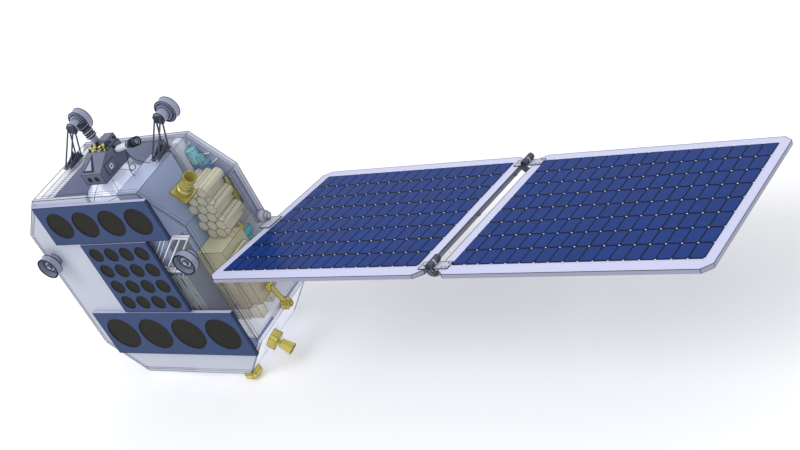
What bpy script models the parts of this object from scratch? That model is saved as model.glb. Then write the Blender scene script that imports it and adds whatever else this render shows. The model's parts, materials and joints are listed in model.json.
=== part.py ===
"""Small eight-sided satellite standing on its separation ring, with one deployed solar wing."""
import math

import bmesh
import bpy
from mathutils import Matrix, Vector

# Body, an eight-sided prism: X runs to the wing, -Y is the antenna face, +Z is the mast face
BODY_TOP_WIDTH = 0.457
CHAMFER_X = 0.114
BODY_HEIGHT = 0.741
CHAMFER_Z_SHARE = 0.17679
CHAMFER_Z = BODY_HEIGHT * CHAMFER_Z_SHARE
BODY_DEPTH = 0.300
SKIN = 0.012
GAP = 0.0003
OVERRUN = 0.002

# Separation ring under the body
RING_HEIGHT = 0.028
RING_RADIUS = 0.092
RING_WALL = 0.007
RING_FLANGE = 0.013
RING_FLANGE_HEIGHT = 0.006
RING_FLOOR = 0.004
RING_STEPS = 40

BODY_WIDTH = BODY_TOP_WIDTH + 2 * CHAMFER_X
BASE_Z = RING_HEIGHT + GAP
TOP_Z = BASE_Z + BODY_HEIGHT
FRONT_Y = -BODY_DEPTH / 2
BACK_Y = BODY_DEPTH / 2
RIGHT_X = BODY_WIDTH / 2

# Antenna arrays on the front face
ARRAY_THICKNESS = 0.009
ARRAY_CENTRE_X = 0.012
ARRAY_GAP = 0.006
ARRAY_COLUMNS = 4
DISC_RECESS = 0.0015
DISC_CLEARANCE = 0.0006
DISC_SIDES = 24
SMALL_DISC_SIDES = 16
UPPER_WIDTH = 0.495
UPPER_HEIGHT_SHARE = 0.2024
UPPER_HEIGHT = BODY_HEIGHT * UPPER_HEIGHT_SHARE
UPPER_DROP = 0.019
UPPER_DISC_RADIUS = 0.050
UPPER_DISC_PITCH = 0.1145
MIDDLE_DISC_PITCH_SHARE = 0.0900
MIDDLE_DISC_PITCH = BODY_HEIGHT * MIDDLE_DISC_PITCH_SHARE
MIDDLE_WIDTH_SHARE = 4.288
MIDDLE_WIDTH = MIDDLE_DISC_PITCH * MIDDLE_WIDTH_SHARE
MIDDLE_HEIGHT_SHARE = 4.258
MIDDLE_HEIGHT = MIDDLE_DISC_PITCH * MIDDLE_HEIGHT_SHARE
MIDDLE_DISC_RADIUS_SHARE = 0.40
MIDDLE_DISC_RADIUS = MIDDLE_DISC_PITCH * MIDDLE_DISC_RADIUS_SHARE
LOWER_WIDTH = 0.610
LOWER_HEIGHT_SHARE = 0.2456
LOWER_HEIGHT = BODY_HEIGHT * LOWER_HEIGHT_SHARE
LOWER_DISC_RADIUS_SHARE = 0.10574
LOWER_DISC_RADIUS = LOWER_WIDTH * LOWER_DISC_RADIUS_SHARE
LOWER_DISC_PITCH_SHARE = 0.24016
LOWER_DISC_PITCH = LOWER_WIDTH * LOWER_DISC_PITCH_SHARE
BACKING_THICKNESS = 0.003

# Solar wing
WING_TILT = math.radians(-11.25)
DRIVE_Y_SHARE = 0.42
DRIVE_Y = BODY_DEPTH * DRIVE_Y_SHARE
DRIVE_Z_SHARE = 0.565
DRIVE_Z = BASE_Z + BODY_HEIGHT * DRIVE_Z_SHARE
PANEL_CENTRE_Y = -0.0147
PANEL_DROP = 0.0255
CELL_PITCH_X = 0.0405
CELL_PITCH_Y = 0.0738
CELL_COLUMNS = 17
CELL_ROWS = 8
CELL_FIELD_THICKNESS = 0.0010
MARGIN_SIDE = 0.030
MARGIN_FRONT = 0.046
MARGIN_BACK = 0.037
PANEL_THICKNESS = 0.012
PANEL_SHEET = 0.0030
PANEL_CORNER = 0.0255
PANEL_RIB = 0.004
PANEL_RIB_COLUMNS = 4
PANEL_RIB_ROWS = 3
PANEL_GAP = 0.044
ROOT_GAP = 0.040
PANEL_LENGTH = CELL_COLUMNS * CELL_PITCH_X + 2 * MARGIN_SIDE
PANEL_WIDTH = CELL_ROWS * CELL_PITCH_Y + MARGIN_FRONT + MARGIN_BACK

# Drive and yoke
DRIVE_RADIUS = 0.0160
DRIVE_LENGTH = 0.020
DRIVE_FLANGE_RADIUS = 0.0200
DRIVE_FLANGE = 0.004
SHAFT_RADIUS = 0.010
YOKE_THICKNESS = 0.003
YOKE_WIDTH = 0.070
YOKE_LAP = 0.022
YOKE_SETBACK = 0.008
YOKE_WEB = 0.006

# Panel hinges
HINGE_RADIUS = 0.007
HINGE_LENGTH = 0.044
HINGE_PLATE = 0.0016
HINGE_PLATE_WIDTH = 0.036
HINGE_INNER_LAP = 0.018
HINGE_OUTER_LAP = 0.028
HINGE_AXIS_HEIGHT = 0.010
HINGE_INSET = 0.045
KNUCKLE_GAP = 0.001

# Cup antennas
CUP_RADIUS = 0.038
CUP_DEPTH = 0.030
CUP_WALL = 0.0025
CUP_DISC_RADIUS = 0.020
CUP_DISC_HEIGHT = 0.010
CUP_NECK_RADIUS = 0.020
CUP_NECK_LENGTH = 0.018
REAR_NECK_LENGTH = 0.030
CUP_BOSS_RADIUS = 0.009
CUP_BOSS_HEIGHT = 0.016
CUP_STEP_RADIUS = 0.030
CUP_STEP = 0.006
CUP_INSET_X = 0.0425
CUP_DROP = 0.236
CUP_STEPS = 22

# Masts of the rear-facing cups
MAST_HEIGHT = 0.085
MAST_LEG = 0.0055
MAST_BASE_LENGTH = 0.070
MAST_REACH = 0.095
MAST_SPACING = 0.024
MAST_X_SHARE = 0.4223
MAST_X = BODY_TOP_WIDTH * MAST_X_SHARE
MAST_FOOT_Y = 0.004
MAST_HEAD = 0.011
GUSSET_HEIGHT = 0.022

# Inside, from left to right
WALL_X_SHARE = 0.2774
WALL_X = -BODY_WIDTH * WALL_X_SHARE
WALL_THICKNESS = 0.028
BOX_X_SHARE = 0.1781
BOX_X = BODY_WIDTH * BOX_X_SHARE
BOX_WIDTH_SHARE = 0.1226
BOX_WIDTH = BODY_WIDTH * BOX_WIDTH_SHARE
BOX_SETBACK = 0.0097
RAIL_DEPTH = 0.007
BOX_BACK_DROP_SHARE = 0.24
BOX_BACK_DROP = BODY_DEPTH * BOX_BACK_DROP_SHARE
TANK_RIM = 0.0117
TANK_CLEARANCE = 0.003
TANK_STEPS = 24
TANK_FLANGE = 0.005
TANK_FLANGE_HEIGHT = 0.003
DECK_THICKNESS = 0.006
TUBE_RADIUS_SHARE = 0.025641
TUBE_RADIUS = BODY_HEIGHT * TUBE_RADIUS_SHARE
TUBE_PITCH_SHARE = 1.92
TUBE_PITCH = TUBE_RADIUS * TUBE_PITCH_SHARE
TUBE_ROW_PITCH = TUBE_PITCH * math.sin(math.pi / 3)
TUBE_DROP_SHARE = 0.17544
TUBE_DROP = BODY_HEIGHT * TUBE_DROP_SHARE
TUBE_ROWS = 6
TUBE_COLUMNS = 3
TUBE_SIDES = 12

# Head unit on the top face
HEAD_X = -0.026
HEAD_Y = -0.088
HEAD_WIDTH = 0.084
HEAD_DEPTH = 0.130
HEAD_HEIGHT = 0.072
HEAD_FRONT_HEIGHT = 0.038
HEAD_RIDGE_SHARE = 0.48
HEAD_PORT_RADIUS = 0.007
HEAD_PORT_SIDES = 14
HEAD_PLATE = 0.002
HEAD_WINDOW_DEPTH = 0.010
FITTING_BASE = 0.004
FITTING_SIDES = 10
BARREL_SIDES = 20
BARREL_LEFT_LENGTH = 0.078
BARREL_RIGHT_LENGTH = 0.104
BARREL_LEFT_SEAT = 0.0008
BARREL_RIGHT_SEAT = 0.0028

# Horn and thrusters
THRUSTER_NECK_RADIUS = 0.007
NOZZLE_SIDES = 12
NOZZLE_WALL_SHARE = 0.75
BLOCK_CORNER_SHARE = 0.45
HORN_PLATE = 0.007
HORN_PLATE_WIDTH = 0.060
HORN_LENGTH = 0.085
HORN_STEPS = 20
ARM_RADIUS = 0.008
ARM_SIDES = 8

for scene_object in list(bpy.data.objects):
    bpy.data.objects.remove(scene_object, do_unlink=True)

model = bpy.data.collections.new("satellite")
bpy.context.scene.collection.children.link(model)
cutters = bpy.data.collections.new("cutters")
bpy.context.scene.collection.children.link(cutters)


def material(name, colour, roughness=0.5, metallic=0.0, alpha=1.0):
    mat = bpy.data.materials.new(name)
    mat.use_nodes = True
    shader = mat.node_tree.nodes["Principled BSDF"]
    shader.inputs["Base Color"].default_value = (*colour, 1.0)
    shader.inputs["Roughness"].default_value = roughness
    shader.inputs["Metallic"].default_value = metallic
    shader.inputs["Alpha"].default_value = alpha
    return mat


CLEAR = ((0.80, 0.80, 0.88), 0.1, 0.0, 0.2)
PALE = ((0.55, 0.55, 0.63), 0.5, 0.3)
LAVENDER = ((0.62, 0.62, 0.80), 0.4, 0.3)
SLATE = ((0.12, 0.13, 0.18), 0.5, 0.3)
BLUE = ((0.05, 0.09, 0.25), 0.5, 0.1)
OLIVE = ((0.03, 0.03, 0.02), 0.6, 0.0)
GOLD = ((0.60, 0.50, 0.12), 0.35, 0.7)
TAN = ((0.62, 0.58, 0.42), 0.5, 0.1)
TEAL = ((0.10, 0.45, 0.50), 0.4, 0.1)
DARK = ((0.06, 0.06, 0.09), 0.5, 0.5)
CELL_BLUE = ((0.02, 0.06, 0.35), 0.3, 0.1)


def link(obj, look, collection=model):
    collection.objects.link(obj)
    if look is not None:
        obj.data.materials.append(material(obj.name, *look))
    return obj


def mesh_object(name, bm, look=None, collection=model):
    mesh = bpy.data.meshes.new(name)
    bm.to_mesh(mesh)
    bm.free()
    return link(bpy.data.objects.new(name, mesh), look, collection)


def box(name, low, high, look=None, collection=model):
    """A block between two corners."""
    bm = bmesh.new()
    bmesh.ops.create_cube(bm, size=1.0)
    size = Vector(high) - Vector(low)
    centre = (Vector(high) + Vector(low)) / 2
    bmesh.ops.transform(bm, matrix=Matrix.Translation(centre) @ Matrix.Diagonal((*size, 1.0)),
                        verts=bm.verts)
    return mesh_object(name, bm, look, collection)


def rod(name, start, end, radius, sides=12, look=None, collection=model, end_radius=None):
    """A round bar or cone between two points."""
    start = Vector(start)
    end = Vector(end)
    bm = bmesh.new()
    bmesh.ops.create_cone(bm, cap_ends=True, cap_tris=False, segments=sides, radius1=radius,
                          radius2=radius if end_radius is None else end_radius, depth=(end - start).length)
    turn = (end - start).to_track_quat("Z", "Y").to_matrix().to_4x4()
    bmesh.ops.transform(bm, matrix=Matrix.Translation((start + end) / 2) @ turn, verts=bm.verts)
    return mesh_object(name, bm, look, collection)


def slab(name, outline, low, high, axis="Y", look=None, collection=model):
    """A flat outline of (a, b) points, extruded along an axis from low to high."""
    order = {"Y": (0, 2, 1), "Z": (0, 1, 2), "X": (2, 0, 1)}[axis]

    def place(a, b, c):
        return tuple((a, b, c)[k] for k in order)

    bm = bmesh.new()
    face = bm.faces.new([bm.verts.new(place(a, b, low)) for a, b in outline])
    grown = bmesh.ops.extrude_face_region(bm, geom=[face])
    shift = Vector(place(0, 0, high)) - Vector(place(0, 0, low))
    bmesh.ops.translate(bm, vec=shift, verts=[g for g in grown["geom"] if isinstance(g, bmesh.types.BMVert)])
    bmesh.ops.recalc_face_normals(bm, faces=bm.faces)
    return mesh_object(name, bm, look, collection)


def turned(name, profile, steps, place, look=None, collection=model):
    """A solid of revolution: (radius, height) points from top to bottom, about the local Z axis."""
    mesh = bpy.data.meshes.new(name)
    bm = bmesh.new()
    verts = [bm.verts.new((radius, 0, height)) for radius, height in profile]
    for first, second in zip(verts, verts[1:]):
        bm.edges.new((first, second))
    if profile[0][0] > 0 and profile[-1][0] > 0:
        bm.edges.new((verts[-1], verts[0]))
    bm.to_mesh(mesh)
    bm.free()
    obj = link(bpy.data.objects.new(name, mesh), look, collection)
    screw = obj.modifiers.new("turn", "SCREW")
    screw.steps = steps
    screw.render_steps = steps
    screw.use_merge_vertices = True
    screw.merge_threshold = 0.00005
    screw.use_smooth_shade = False
    return settle(obj, place)


def on_face(point, normal):
    """A placement whose Z axis points out of a face at a point."""
    return Matrix.Translation(Vector(point)) @ Vector(normal).to_track_quat("Z", "Y").to_matrix().to_4x4()


def settle(obj, place=None):
    """Applies an object's modifiers and moves its mesh to its place."""
    graph = bpy.context.evaluated_depsgraph_get()
    mesh = bpy.data.meshes.new_from_object(obj.evaluated_get(graph))
    obj.modifiers.clear()
    obj.data = mesh
    if place is not None:
        mesh.transform(place)
    bm = bmesh.new()
    bm.from_mesh(mesh)
    bmesh.ops.remove_doubles(bm, verts=bm.verts, dist=0.00002)
    bmesh.ops.recalc_face_normals(bm, faces=bm.faces)
    bm.to_mesh(mesh)
    bm.free()
    return obj


def combine(target, tools, operation):
    """Joins or cuts the target with other solids, which are then removed."""
    for tool in tools:
        change = target.modifiers.new(tool.name, "BOOLEAN")
        change.operation = operation
        change.solver = "EXACT"
        change.object = tool
    settle(target)
    for tool in tools:
        bpy.data.objects.remove(tool, do_unlink=True)
    return target


def octagon(inset=0.0):
    """The body's outline in X and Z, moved in by an inset, anticlockwise from the bottom left."""
    slope = math.atan2(CHAMFER_Z, CHAMFER_X)
    shift_x = inset * math.tan(slope / 2)
    shift_z = inset * math.tan((math.pi / 2 - slope) / 2)
    top = BODY_TOP_WIDTH / 2 - shift_x
    side = RIGHT_X - inset
    low = BASE_Z + inset
    high = TOP_Z - inset
    low_side = BASE_Z + CHAMFER_Z + shift_z
    high_side = TOP_Z - CHAMFER_Z - shift_z
    return [(-top, low), (top, low), (side, low_side), (side, high_side),
            (top, high), (-top, high), (-side, high_side), (-side, low_side)]


# Skins: eight mitred side panels between the front and back faces
SKIN_NAMES = ("skin_bottom", "skin_bottom_right", "skin_right", "skin_top_right",
              "skin_top", "skin_top_left", "skin_left", "skin_bottom_left")
OPAQUE_SKINS = 2
OUTER = octagon(0.0)
INNER = octagon(SKIN)


def side_skin(index):
    following = (index + 1) % len(OUTER)
    corners = [Vector(OUTER[index]), Vector(OUTER[following]), Vector(INNER[following]),
               Vector(INNER[index])]
    along = (corners[1] - corners[0]).normalized() * GAP
    outline = [corners[0] + along, corners[1] - along, corners[2] - along, corners[3] + along]
    look = PALE if index < OPAQUE_SKINS else CLEAR
    return slab(SKIN_NAMES[index], outline, FRONT_Y + SKIN + GAP, BACK_Y - SKIN - GAP, "Y", look)


for skin_index in range(len(SKIN_NAMES)):
    side_skin(skin_index)

slab("skin_back", OUTER, BACK_Y - SKIN, BACK_Y, "Y", CLEAR)
FRONT_SPLIT_X = ARRAY_CENTRE_X
left_half = [(x, z) for x, z in OUTER if x < 0]
left_half = left_half[1:] + left_half[:1]
right_half = [(x, z) for x, z in OUTER if x > 0]
slab("front_panel_left", [(FRONT_SPLIT_X - GAP, TOP_Z), *left_half, (FRONT_SPLIT_X - GAP, BASE_Z)],
     FRONT_Y, FRONT_Y + SKIN, "Y", PALE)
slab("front_panel_right", [(FRONT_SPLIT_X + GAP, BASE_Z), *right_half, (FRONT_SPLIT_X + GAP, TOP_Z)],
     FRONT_Y, FRONT_Y + SKIN, "Y", CLEAR)

# Separation ring
turned("separation_ring", [
    (0.0, RING_FLOOR), (RING_RADIUS, RING_FLOOR), (RING_RADIUS, RING_HEIGHT),
    (RING_RADIUS + RING_FLANGE, RING_HEIGHT), (RING_RADIUS + RING_FLANGE, RING_HEIGHT - RING_FLANGE_HEIGHT),
    (RING_RADIUS + RING_WALL, RING_HEIGHT - RING_FLANGE_HEIGHT),
    (RING_RADIUS + RING_WALL, RING_FLANGE_HEIGHT),
    (RING_RADIUS + RING_FLANGE, RING_FLANGE_HEIGHT), (RING_RADIUS + RING_FLANGE, 0.0),
    (0.0, 0.0)], RING_STEPS, Matrix.Identity(4), PALE)


# Antenna arrays: a blue face plate with round windows over a backing plate with raised dark discs
def array(name, top, width, height, radius, rows, pitch, sides):
    front = ARRAY_BACK
    columns = ARRAY_COLUMNS
    low = (ARRAY_CENTRE_X - width / 2, front, top - height)
    high = (ARRAY_CENTRE_X + width / 2, front + ARRAY_THICKNESS, top)
    face = box(name + "_face", low, high, BLUE)
    backing = box(name + "_discs", (low[0], high[1] + GAP, low[2]),
                  (high[0], high[1] + GAP + BACKING_THICKNESS, high[2]), OLIVE)
    windows = []
    discs = []
    for row in range(rows):
        for column in range(columns):
            x = ARRAY_CENTRE_X + (column - (columns - 1) / 2) * pitch
            z = top - height / 2 + ((rows - 1) / 2 - row) * pitch
            windows.append(rod("window", (x, front - OVERRUN, z), (x, front + ARRAY_THICKNESS + OVERRUN, z),
                               radius, sides, None, cutters))
            discs.append(rod("disc", (x, front + DISC_RECESS, z), (x, high[1] + GAP + OVERRUN / 2, z),
                             radius - DISC_CLEARANCE, sides, None, cutters))
    combine(face, windows, "DIFFERENCE")
    combine(backing, discs, "UNION")


ARRAY_BACK = FRONT_Y - 2 * GAP - BACKING_THICKNESS - ARRAY_THICKNESS
UPPER_TOP = TOP_Z - UPPER_DROP
MIDDLE_TOP = UPPER_TOP - UPPER_HEIGHT - ARRAY_GAP
LOWER_TOP = MIDDLE_TOP - MIDDLE_HEIGHT - ARRAY_GAP
ARRAYS = [
    # name, top, width, height, disc radius, rows, pitch, sides
    ("upper_array", UPPER_TOP, UPPER_WIDTH, UPPER_HEIGHT, UPPER_DISC_RADIUS, 1, UPPER_DISC_PITCH,
     DISC_SIDES),
    ("middle_array", MIDDLE_TOP, MIDDLE_WIDTH, MIDDLE_HEIGHT, MIDDLE_DISC_RADIUS, 4, MIDDLE_DISC_PITCH,
     SMALL_DISC_SIDES),
    ("lower_array", LOWER_TOP, LOWER_WIDTH, LOWER_HEIGHT, LOWER_DISC_RADIUS, 1, LOWER_DISC_PITCH,
     DISC_SIDES),
]
for array_row in ARRAYS:
    array(*array_row)


# Cup antennas: an open cup with a disc inside, on a short neck
def cup(name, base, direction, neck, look=LAVENDER):
    place = on_face(base, direction)
    floor = neck + CUP_STEP + CUP_WALL
    rim = neck + CUP_DEPTH
    disc = floor + CUP_DISC_HEIGHT
    profile = [
        (0.0, floor + CUP_BOSS_HEIGHT), (CUP_BOSS_RADIUS, floor + CUP_BOSS_HEIGHT), (CUP_BOSS_RADIUS, disc),
        (CUP_DISC_RADIUS, disc), (CUP_DISC_RADIUS, floor), (CUP_RADIUS - CUP_WALL, floor),
        (CUP_RADIUS - CUP_WALL, rim), (CUP_RADIUS, rim), (CUP_RADIUS, neck + CUP_STEP),
        (CUP_STEP_RADIUS, neck + CUP_STEP), (CUP_STEP_RADIUS, neck),
        (CUP_NECK_RADIUS, neck), (CUP_NECK_RADIUS, 0.0), (0.0, 0.0)]
    return turned(name, profile, CUP_STEPS, place, look)


CUP_SIDE_X = RIGHT_X - CUP_INSET_X
CUP_SIDE_Z = TOP_Z - CUP_DROP
cup("cup_front_left", (-CUP_SIDE_X, FRONT_Y - GAP, CUP_SIDE_Z), (0, -1, 0), CUP_NECK_LENGTH)
cup("cup_front_right", (CUP_SIDE_X, FRONT_Y - GAP, CUP_SIDE_Z), (0, -1, 0), CUP_NECK_LENGTH)


# Masts: two trussed side plates from the top face to a head plate that carries a rear-facing cup
def mast(side):
    name = "mast_right" if side > 0 else "mast_left"
    x = side * MAST_X
    foot_y = MAST_FOOT_Y
    head = (foot_y + MAST_REACH, TOP_Z + MAST_HEIGHT)
    head_plate = box(name, (x - MAST_SPACING / 2 - MAST_LEG, head[0], head[1] - MAST_HEAD),
                     (x + MAST_SPACING / 2 + MAST_LEG, head[0] + MAST_LEG, head[1] + MAST_HEAD), DARK)
    foot = box("foot", (x - MAST_SPACING / 2 - MAST_LEG, foot_y, TOP_Z + GAP),
               (x + MAST_SPACING / 2 + MAST_LEG, foot_y + MAST_BASE_LENGTH,
                TOP_Z + GAP + MAST_LEG), None, cutters)
    foot_top = TOP_Z + GAP + MAST_LEG / 2
    legs = []
    for edge in (-1, 1):
        leg_x = x + edge * MAST_SPACING / 2
        legs.append(rod("leg", (leg_x, foot_y + MAST_LEG, TOP_Z + GAP + MAST_LEG / 2),
                        (leg_x, head[0] + MAST_LEG / 2,
                         head[1] + MAST_HEAD - MAST_LEG), MAST_LEG / 2, 6, None, cutters))
        legs.append(rod("leg", (leg_x, foot_y + MAST_BASE_LENGTH - MAST_LEG, TOP_Z + GAP + MAST_LEG / 2),
                        (leg_x, head[0] + MAST_LEG / 2,
                         head[1] - MAST_HEAD + MAST_LEG), MAST_LEG / 2, 6, None, cutters))
        gusset = [(foot_y + MAST_LEG, foot_top), (foot_y + MAST_BASE_LENGTH - MAST_LEG, foot_top),
                  (foot_y + MAST_BASE_LENGTH - MAST_LEG, foot_top + GUSSET_HEIGHT)]
        legs.append(slab("gusset", gusset, leg_x - MAST_LEG / 4, leg_x + MAST_LEG / 4, "X", None, cutters))
    combine(head_plate, [foot, *legs], "UNION")
    cup("cup_rear_right" if side > 0 else "cup_rear_left", (x, head[0] + MAST_LEG + GAP, head[1]), (0, 1, 0),
        REAR_NECK_LENGTH)


mast(-1)
mast(1)

# Inside: the left wall, the tank on its deck, the central box and the tube bundle
INSIDE_FRONT = FRONT_Y + SKIN + GAP
INSIDE_BACK = BACK_Y - SKIN - GAP
INSIDE_LOW = BASE_Z + SKIN + GAP
INSIDE_HIGH = TOP_Z - SKIN - GAP
INSIDE_RIGHT = RIGHT_X - SKIN - GAP
BOX_FRONT_Y = INSIDE_FRONT + BOX_SETBACK
BOX_RIGHT_X = BOX_X + BOX_WIDTH
WALL_RIGHT_X = WALL_X + WALL_THICKNESS
INSIDE_DEPTH = INSIDE_BACK - INSIDE_FRONT
INSIDE_HEIGHT = INSIDE_HIGH - INSIDE_LOW
box("wall_left", (WALL_X, INSIDE_FRONT, INSIDE_LOW), (WALL_RIGHT_X, INSIDE_BACK, INSIDE_HIGH), SLATE)

BOX_BACK_Y = INSIDE_BACK - BOX_BACK_DROP
centre_box = box("centre_box", (BOX_X, BOX_FRONT_Y, INSIDE_LOW), (BOX_RIGHT_X, BOX_BACK_Y, INSIDE_HIGH),
                 LAVENDER)
RAIL_LOW_SHARE = 0.303
RAIL_HIGH_SHARE = 0.557
RAIL_SHARES = [
    # left edge and right edge across the box
    (0.30, 0.42),
    (0.52, 0.64),
    (0.74, 0.86),
]
rails = []
for left_share, right_share in RAIL_SHARES:
    rails.append(box("rail", (BOX_X + BOX_WIDTH * left_share, BOX_FRONT_Y - RAIL_DEPTH,
                              INSIDE_LOW + INSIDE_HEIGHT * RAIL_LOW_SHARE),
                     (BOX_X + BOX_WIDTH * right_share, BOX_FRONT_Y + OVERRUN,
                      INSIDE_LOW + INSIDE_HEIGHT * RAIL_HIGH_SHARE), None, cutters))
combine(centre_box, rails, "UNION")

TANK_X = (BOX_X + WALL_RIGHT_X) / 2
TANK_SIDE_ROOM = (BOX_X - WALL_RIGHT_X) / 2
TANK_RADIUS = min(TANK_SIDE_ROOM, INSIDE_DEPTH / 2) - TANK_RIM
TANK_Z = INSIDE_HIGH - TANK_CLEARANCE - TANK_RADIUS
DECK_TOP_Z = TANK_Z - TANK_FLANGE_HEIGHT / 2 - GAP
deck = box("tank_deck", (WALL_RIGHT_X + GAP, INSIDE_FRONT, DECK_TOP_Z - DECK_THICKNESS),
           (BOX_X - GAP, INSIDE_BACK, DECK_TOP_Z), SLATE)
deck_hole = rod("hole", (TANK_X, 0.0, DECK_TOP_Z - DECK_THICKNESS - OVERRUN),
                (TANK_X, 0.0, DECK_TOP_Z + OVERRUN),
                TANK_RADIUS + OVERRUN, TANK_STEPS, None, cutters)
combine(deck, [deck_hole], "DIFFERENCE")
half_turns = TANK_STEPS // 2
tank_profile = [(0.0, TANK_RADIUS)]
for step in range(1, half_turns):
    angle = math.pi * step / half_turns
    if 2 * step == half_turns:
        for radius in (TANK_RADIUS, TANK_RADIUS + TANK_FLANGE):
            tank_profile.append((radius, TANK_FLANGE_HEIGHT / 2))
        for radius in (TANK_RADIUS + TANK_FLANGE, TANK_RADIUS):
            tank_profile.append((radius, -TANK_FLANGE_HEIGHT / 2))
    else:
        tank_profile.append((TANK_RADIUS * math.sin(angle), TANK_RADIUS * math.cos(angle)))
tank_profile.append((0.0, -TANK_RADIUS))
turned("tank", tank_profile, TANK_STEPS, Matrix.Translation((TANK_X, 0.0, TANK_Z)), LAVENDER)


def chamfer_room(x, z):
    """How far a point lies inside the upper right skin."""
    edge = Vector((RIGHT_X - BODY_TOP_WIDTH / 2, -CHAMFER_Z)).normalized()
    outward = Vector((-edge.y, edge.x))
    return -outward.dot(Vector((x, z)) - Vector((BODY_TOP_WIDTH / 2, TOP_Z))) - SKIN


TUBE_TOP_Z = TOP_Z - TUBE_DROP
TUBE_FRONT_SHARE = 0.52
TUBE_BACK_SHARE = 0.89
tube_front_y = INSIDE_FRONT + INSIDE_DEPTH * TUBE_FRONT_SHARE
tube_back_y = INSIDE_FRONT + INSIDE_DEPTH * TUBE_BACK_SHARE
first_tube_x = BOX_RIGHT_X + TUBE_RADIUS + GAP
tubes = []
for row in range(TUBE_ROWS):
    tube_z = TUBE_TOP_Z - row * TUBE_ROW_PITCH
    for column in range(TUBE_COLUMNS):
        tube_x = first_tube_x + (column + row % 2 / 2) * TUBE_PITCH
        below_chamfer = chamfer_room(tube_x, tube_z) > TUBE_RADIUS + GAP
        if below_chamfer and tube_x + TUBE_RADIUS < INSIDE_RIGHT - GAP:
            tubes.append(rod("tube_bundle" if not tubes else "tube", (tube_x, tube_front_y, tube_z),
                             (tube_x, tube_back_y, tube_z), TUBE_RADIUS, TUBE_SIDES,
                             TAN if not tubes else None, cutters if tubes else model))
combine(tubes[0], tubes[1:], "UNION")

# Boxes and small units beside the middle: each node is a union of blocks placed by shares of its bay
BAYS = {
    # bay: low corner, high corner
    "right": (Vector((BOX_RIGHT_X, INSIDE_FRONT, INSIDE_LOW)),
              Vector((INSIDE_RIGHT, INSIDE_BACK, INSIDE_HIGH))),
    "left": (Vector((-INSIDE_RIGHT, INSIDE_FRONT, INSIDE_LOW)), Vector((WALL_X, INSIDE_BACK, INSIDE_HIGH))),
    "deck": (Vector((WALL_RIGHT_X, INSIDE_FRONT, DECK_TOP_Z)), Vector((BOX_X, INSIDE_BACK, INSIDE_HIGH))),
}
BLOCK_SHARES = [
    # node, look, bay, low corner, high corner
    ("equipment_tray", PALE, "right", (0.000, 0.000, 0.185), (1.000, 1.000, 0.194)),
    ("equipment_tray", PALE, "right", (0.040, 0.290, 0.190), (0.420, 0.440, 0.260)),
    ("equipment_tray", PALE, "right", (0.480, 0.310, 0.190), (0.820, 0.420, 0.260)),
    ("equipment_tray", PALE, "right", (0.120, 0.580, 0.190), (0.760, 0.690, 0.260)),
    ("avionics_lower", TAN, "right", (0.000, 0.280, 0.260), (0.640, 0.718, 0.420)),
    ("avionics_lower", TAN, "right", (0.600, 0.330, 0.268), (0.990, 0.680, 0.410)),
    ("avionics_lower", TAN, "right", (0.150, 0.255, 0.290), (0.280, 0.500, 0.410)),
    ("avionics_upper", TAN, "right", (0.000, 0.280, 0.420), (0.860, 0.718, 0.584)),
    ("avionics_upper", TAN, "right", (0.700, 0.310, 0.447), (0.990, 0.650, 0.475)),
    ("avionics_upper", TAN, "right", (0.710, 0.320, 0.510), (0.985, 0.640, 0.538)),
    ("feed_unit", GOLD, "right", (0.640, 0.905, 0.708), (0.780, 1.000, 0.725)),
    ("fill_unit", TEAL, "right", (0.530, 0.718, 0.440), (0.750, 0.805, 0.490)),
    ("fill_unit", TEAL, "right", (0.560, 0.718, 0.483), (0.720, 0.855, 0.522)),
    ("fill_unit", TEAL, "right", (0.515, 0.718, 0.517), (0.770, 0.885, 0.549)),
    ("service_units", TEAL, "right", (0.000, 0.900, 0.820), (0.450, 1.000, 0.890)),
    ("service_units", TEAL, "right", (0.220, 0.892, 0.884), (0.400, 0.970, 0.920)),
    ("corner_rail", SLATE, "right", (0.895, 0.922, 0.540), (0.995, 1.000, 0.806)),
    ("rear_block", SLATE, "deck", (0.760, 0.910, 0.000), (1.000, 1.000, 0.640)),
    ("rear_block", SLATE, "deck", (0.380, 0.982, 0.300), (1.000, 1.000, 1.000)),
    ("back_post", PALE, "deck", (1.190, 0.900, 0.000), (1.285, 1.000, 1.000)),
    ("equipment_left", PALE, "left", (0.080, 0.130, 0.180), (1.000, 0.880, 0.480)),
    ("equipment_left", PALE, "left", (0.160, 0.200, 0.470), (1.000, 0.800, 0.700)),
]
ROUND_SHARES = [
    # node, bay, start, end, radius and end radius as shares of the bay's width
    ("feed_unit", "right", (0.710, 0.952, 0.610), (0.710, 0.952, 0.688), 0.032, 0.085),
    ("feed_unit", "right", (0.710, 0.952, 0.686), (0.710, 0.952, 0.753), 0.085, 0.085),
    ("feed_unit", "right", (0.710, 0.952, 0.751), (0.710, 0.952, 0.790), 0.085, 0.032),
    ("fill_unit", "right", (0.640, 0.790, 0.545), (0.640, 0.790, 0.580), 0.080, 0.064),
    ("service_units", "right", (0.170, 0.932, 0.886), (0.170, 0.932, 0.952), 0.145, 0.145),
]
BLOCK_SIDES = 12


def bay_point(bay, shares):
    low, high = BAYS[bay]
    return Vector([low[k] + (high[k] - low[k]) * shares[k] for k in range(3)])


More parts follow.
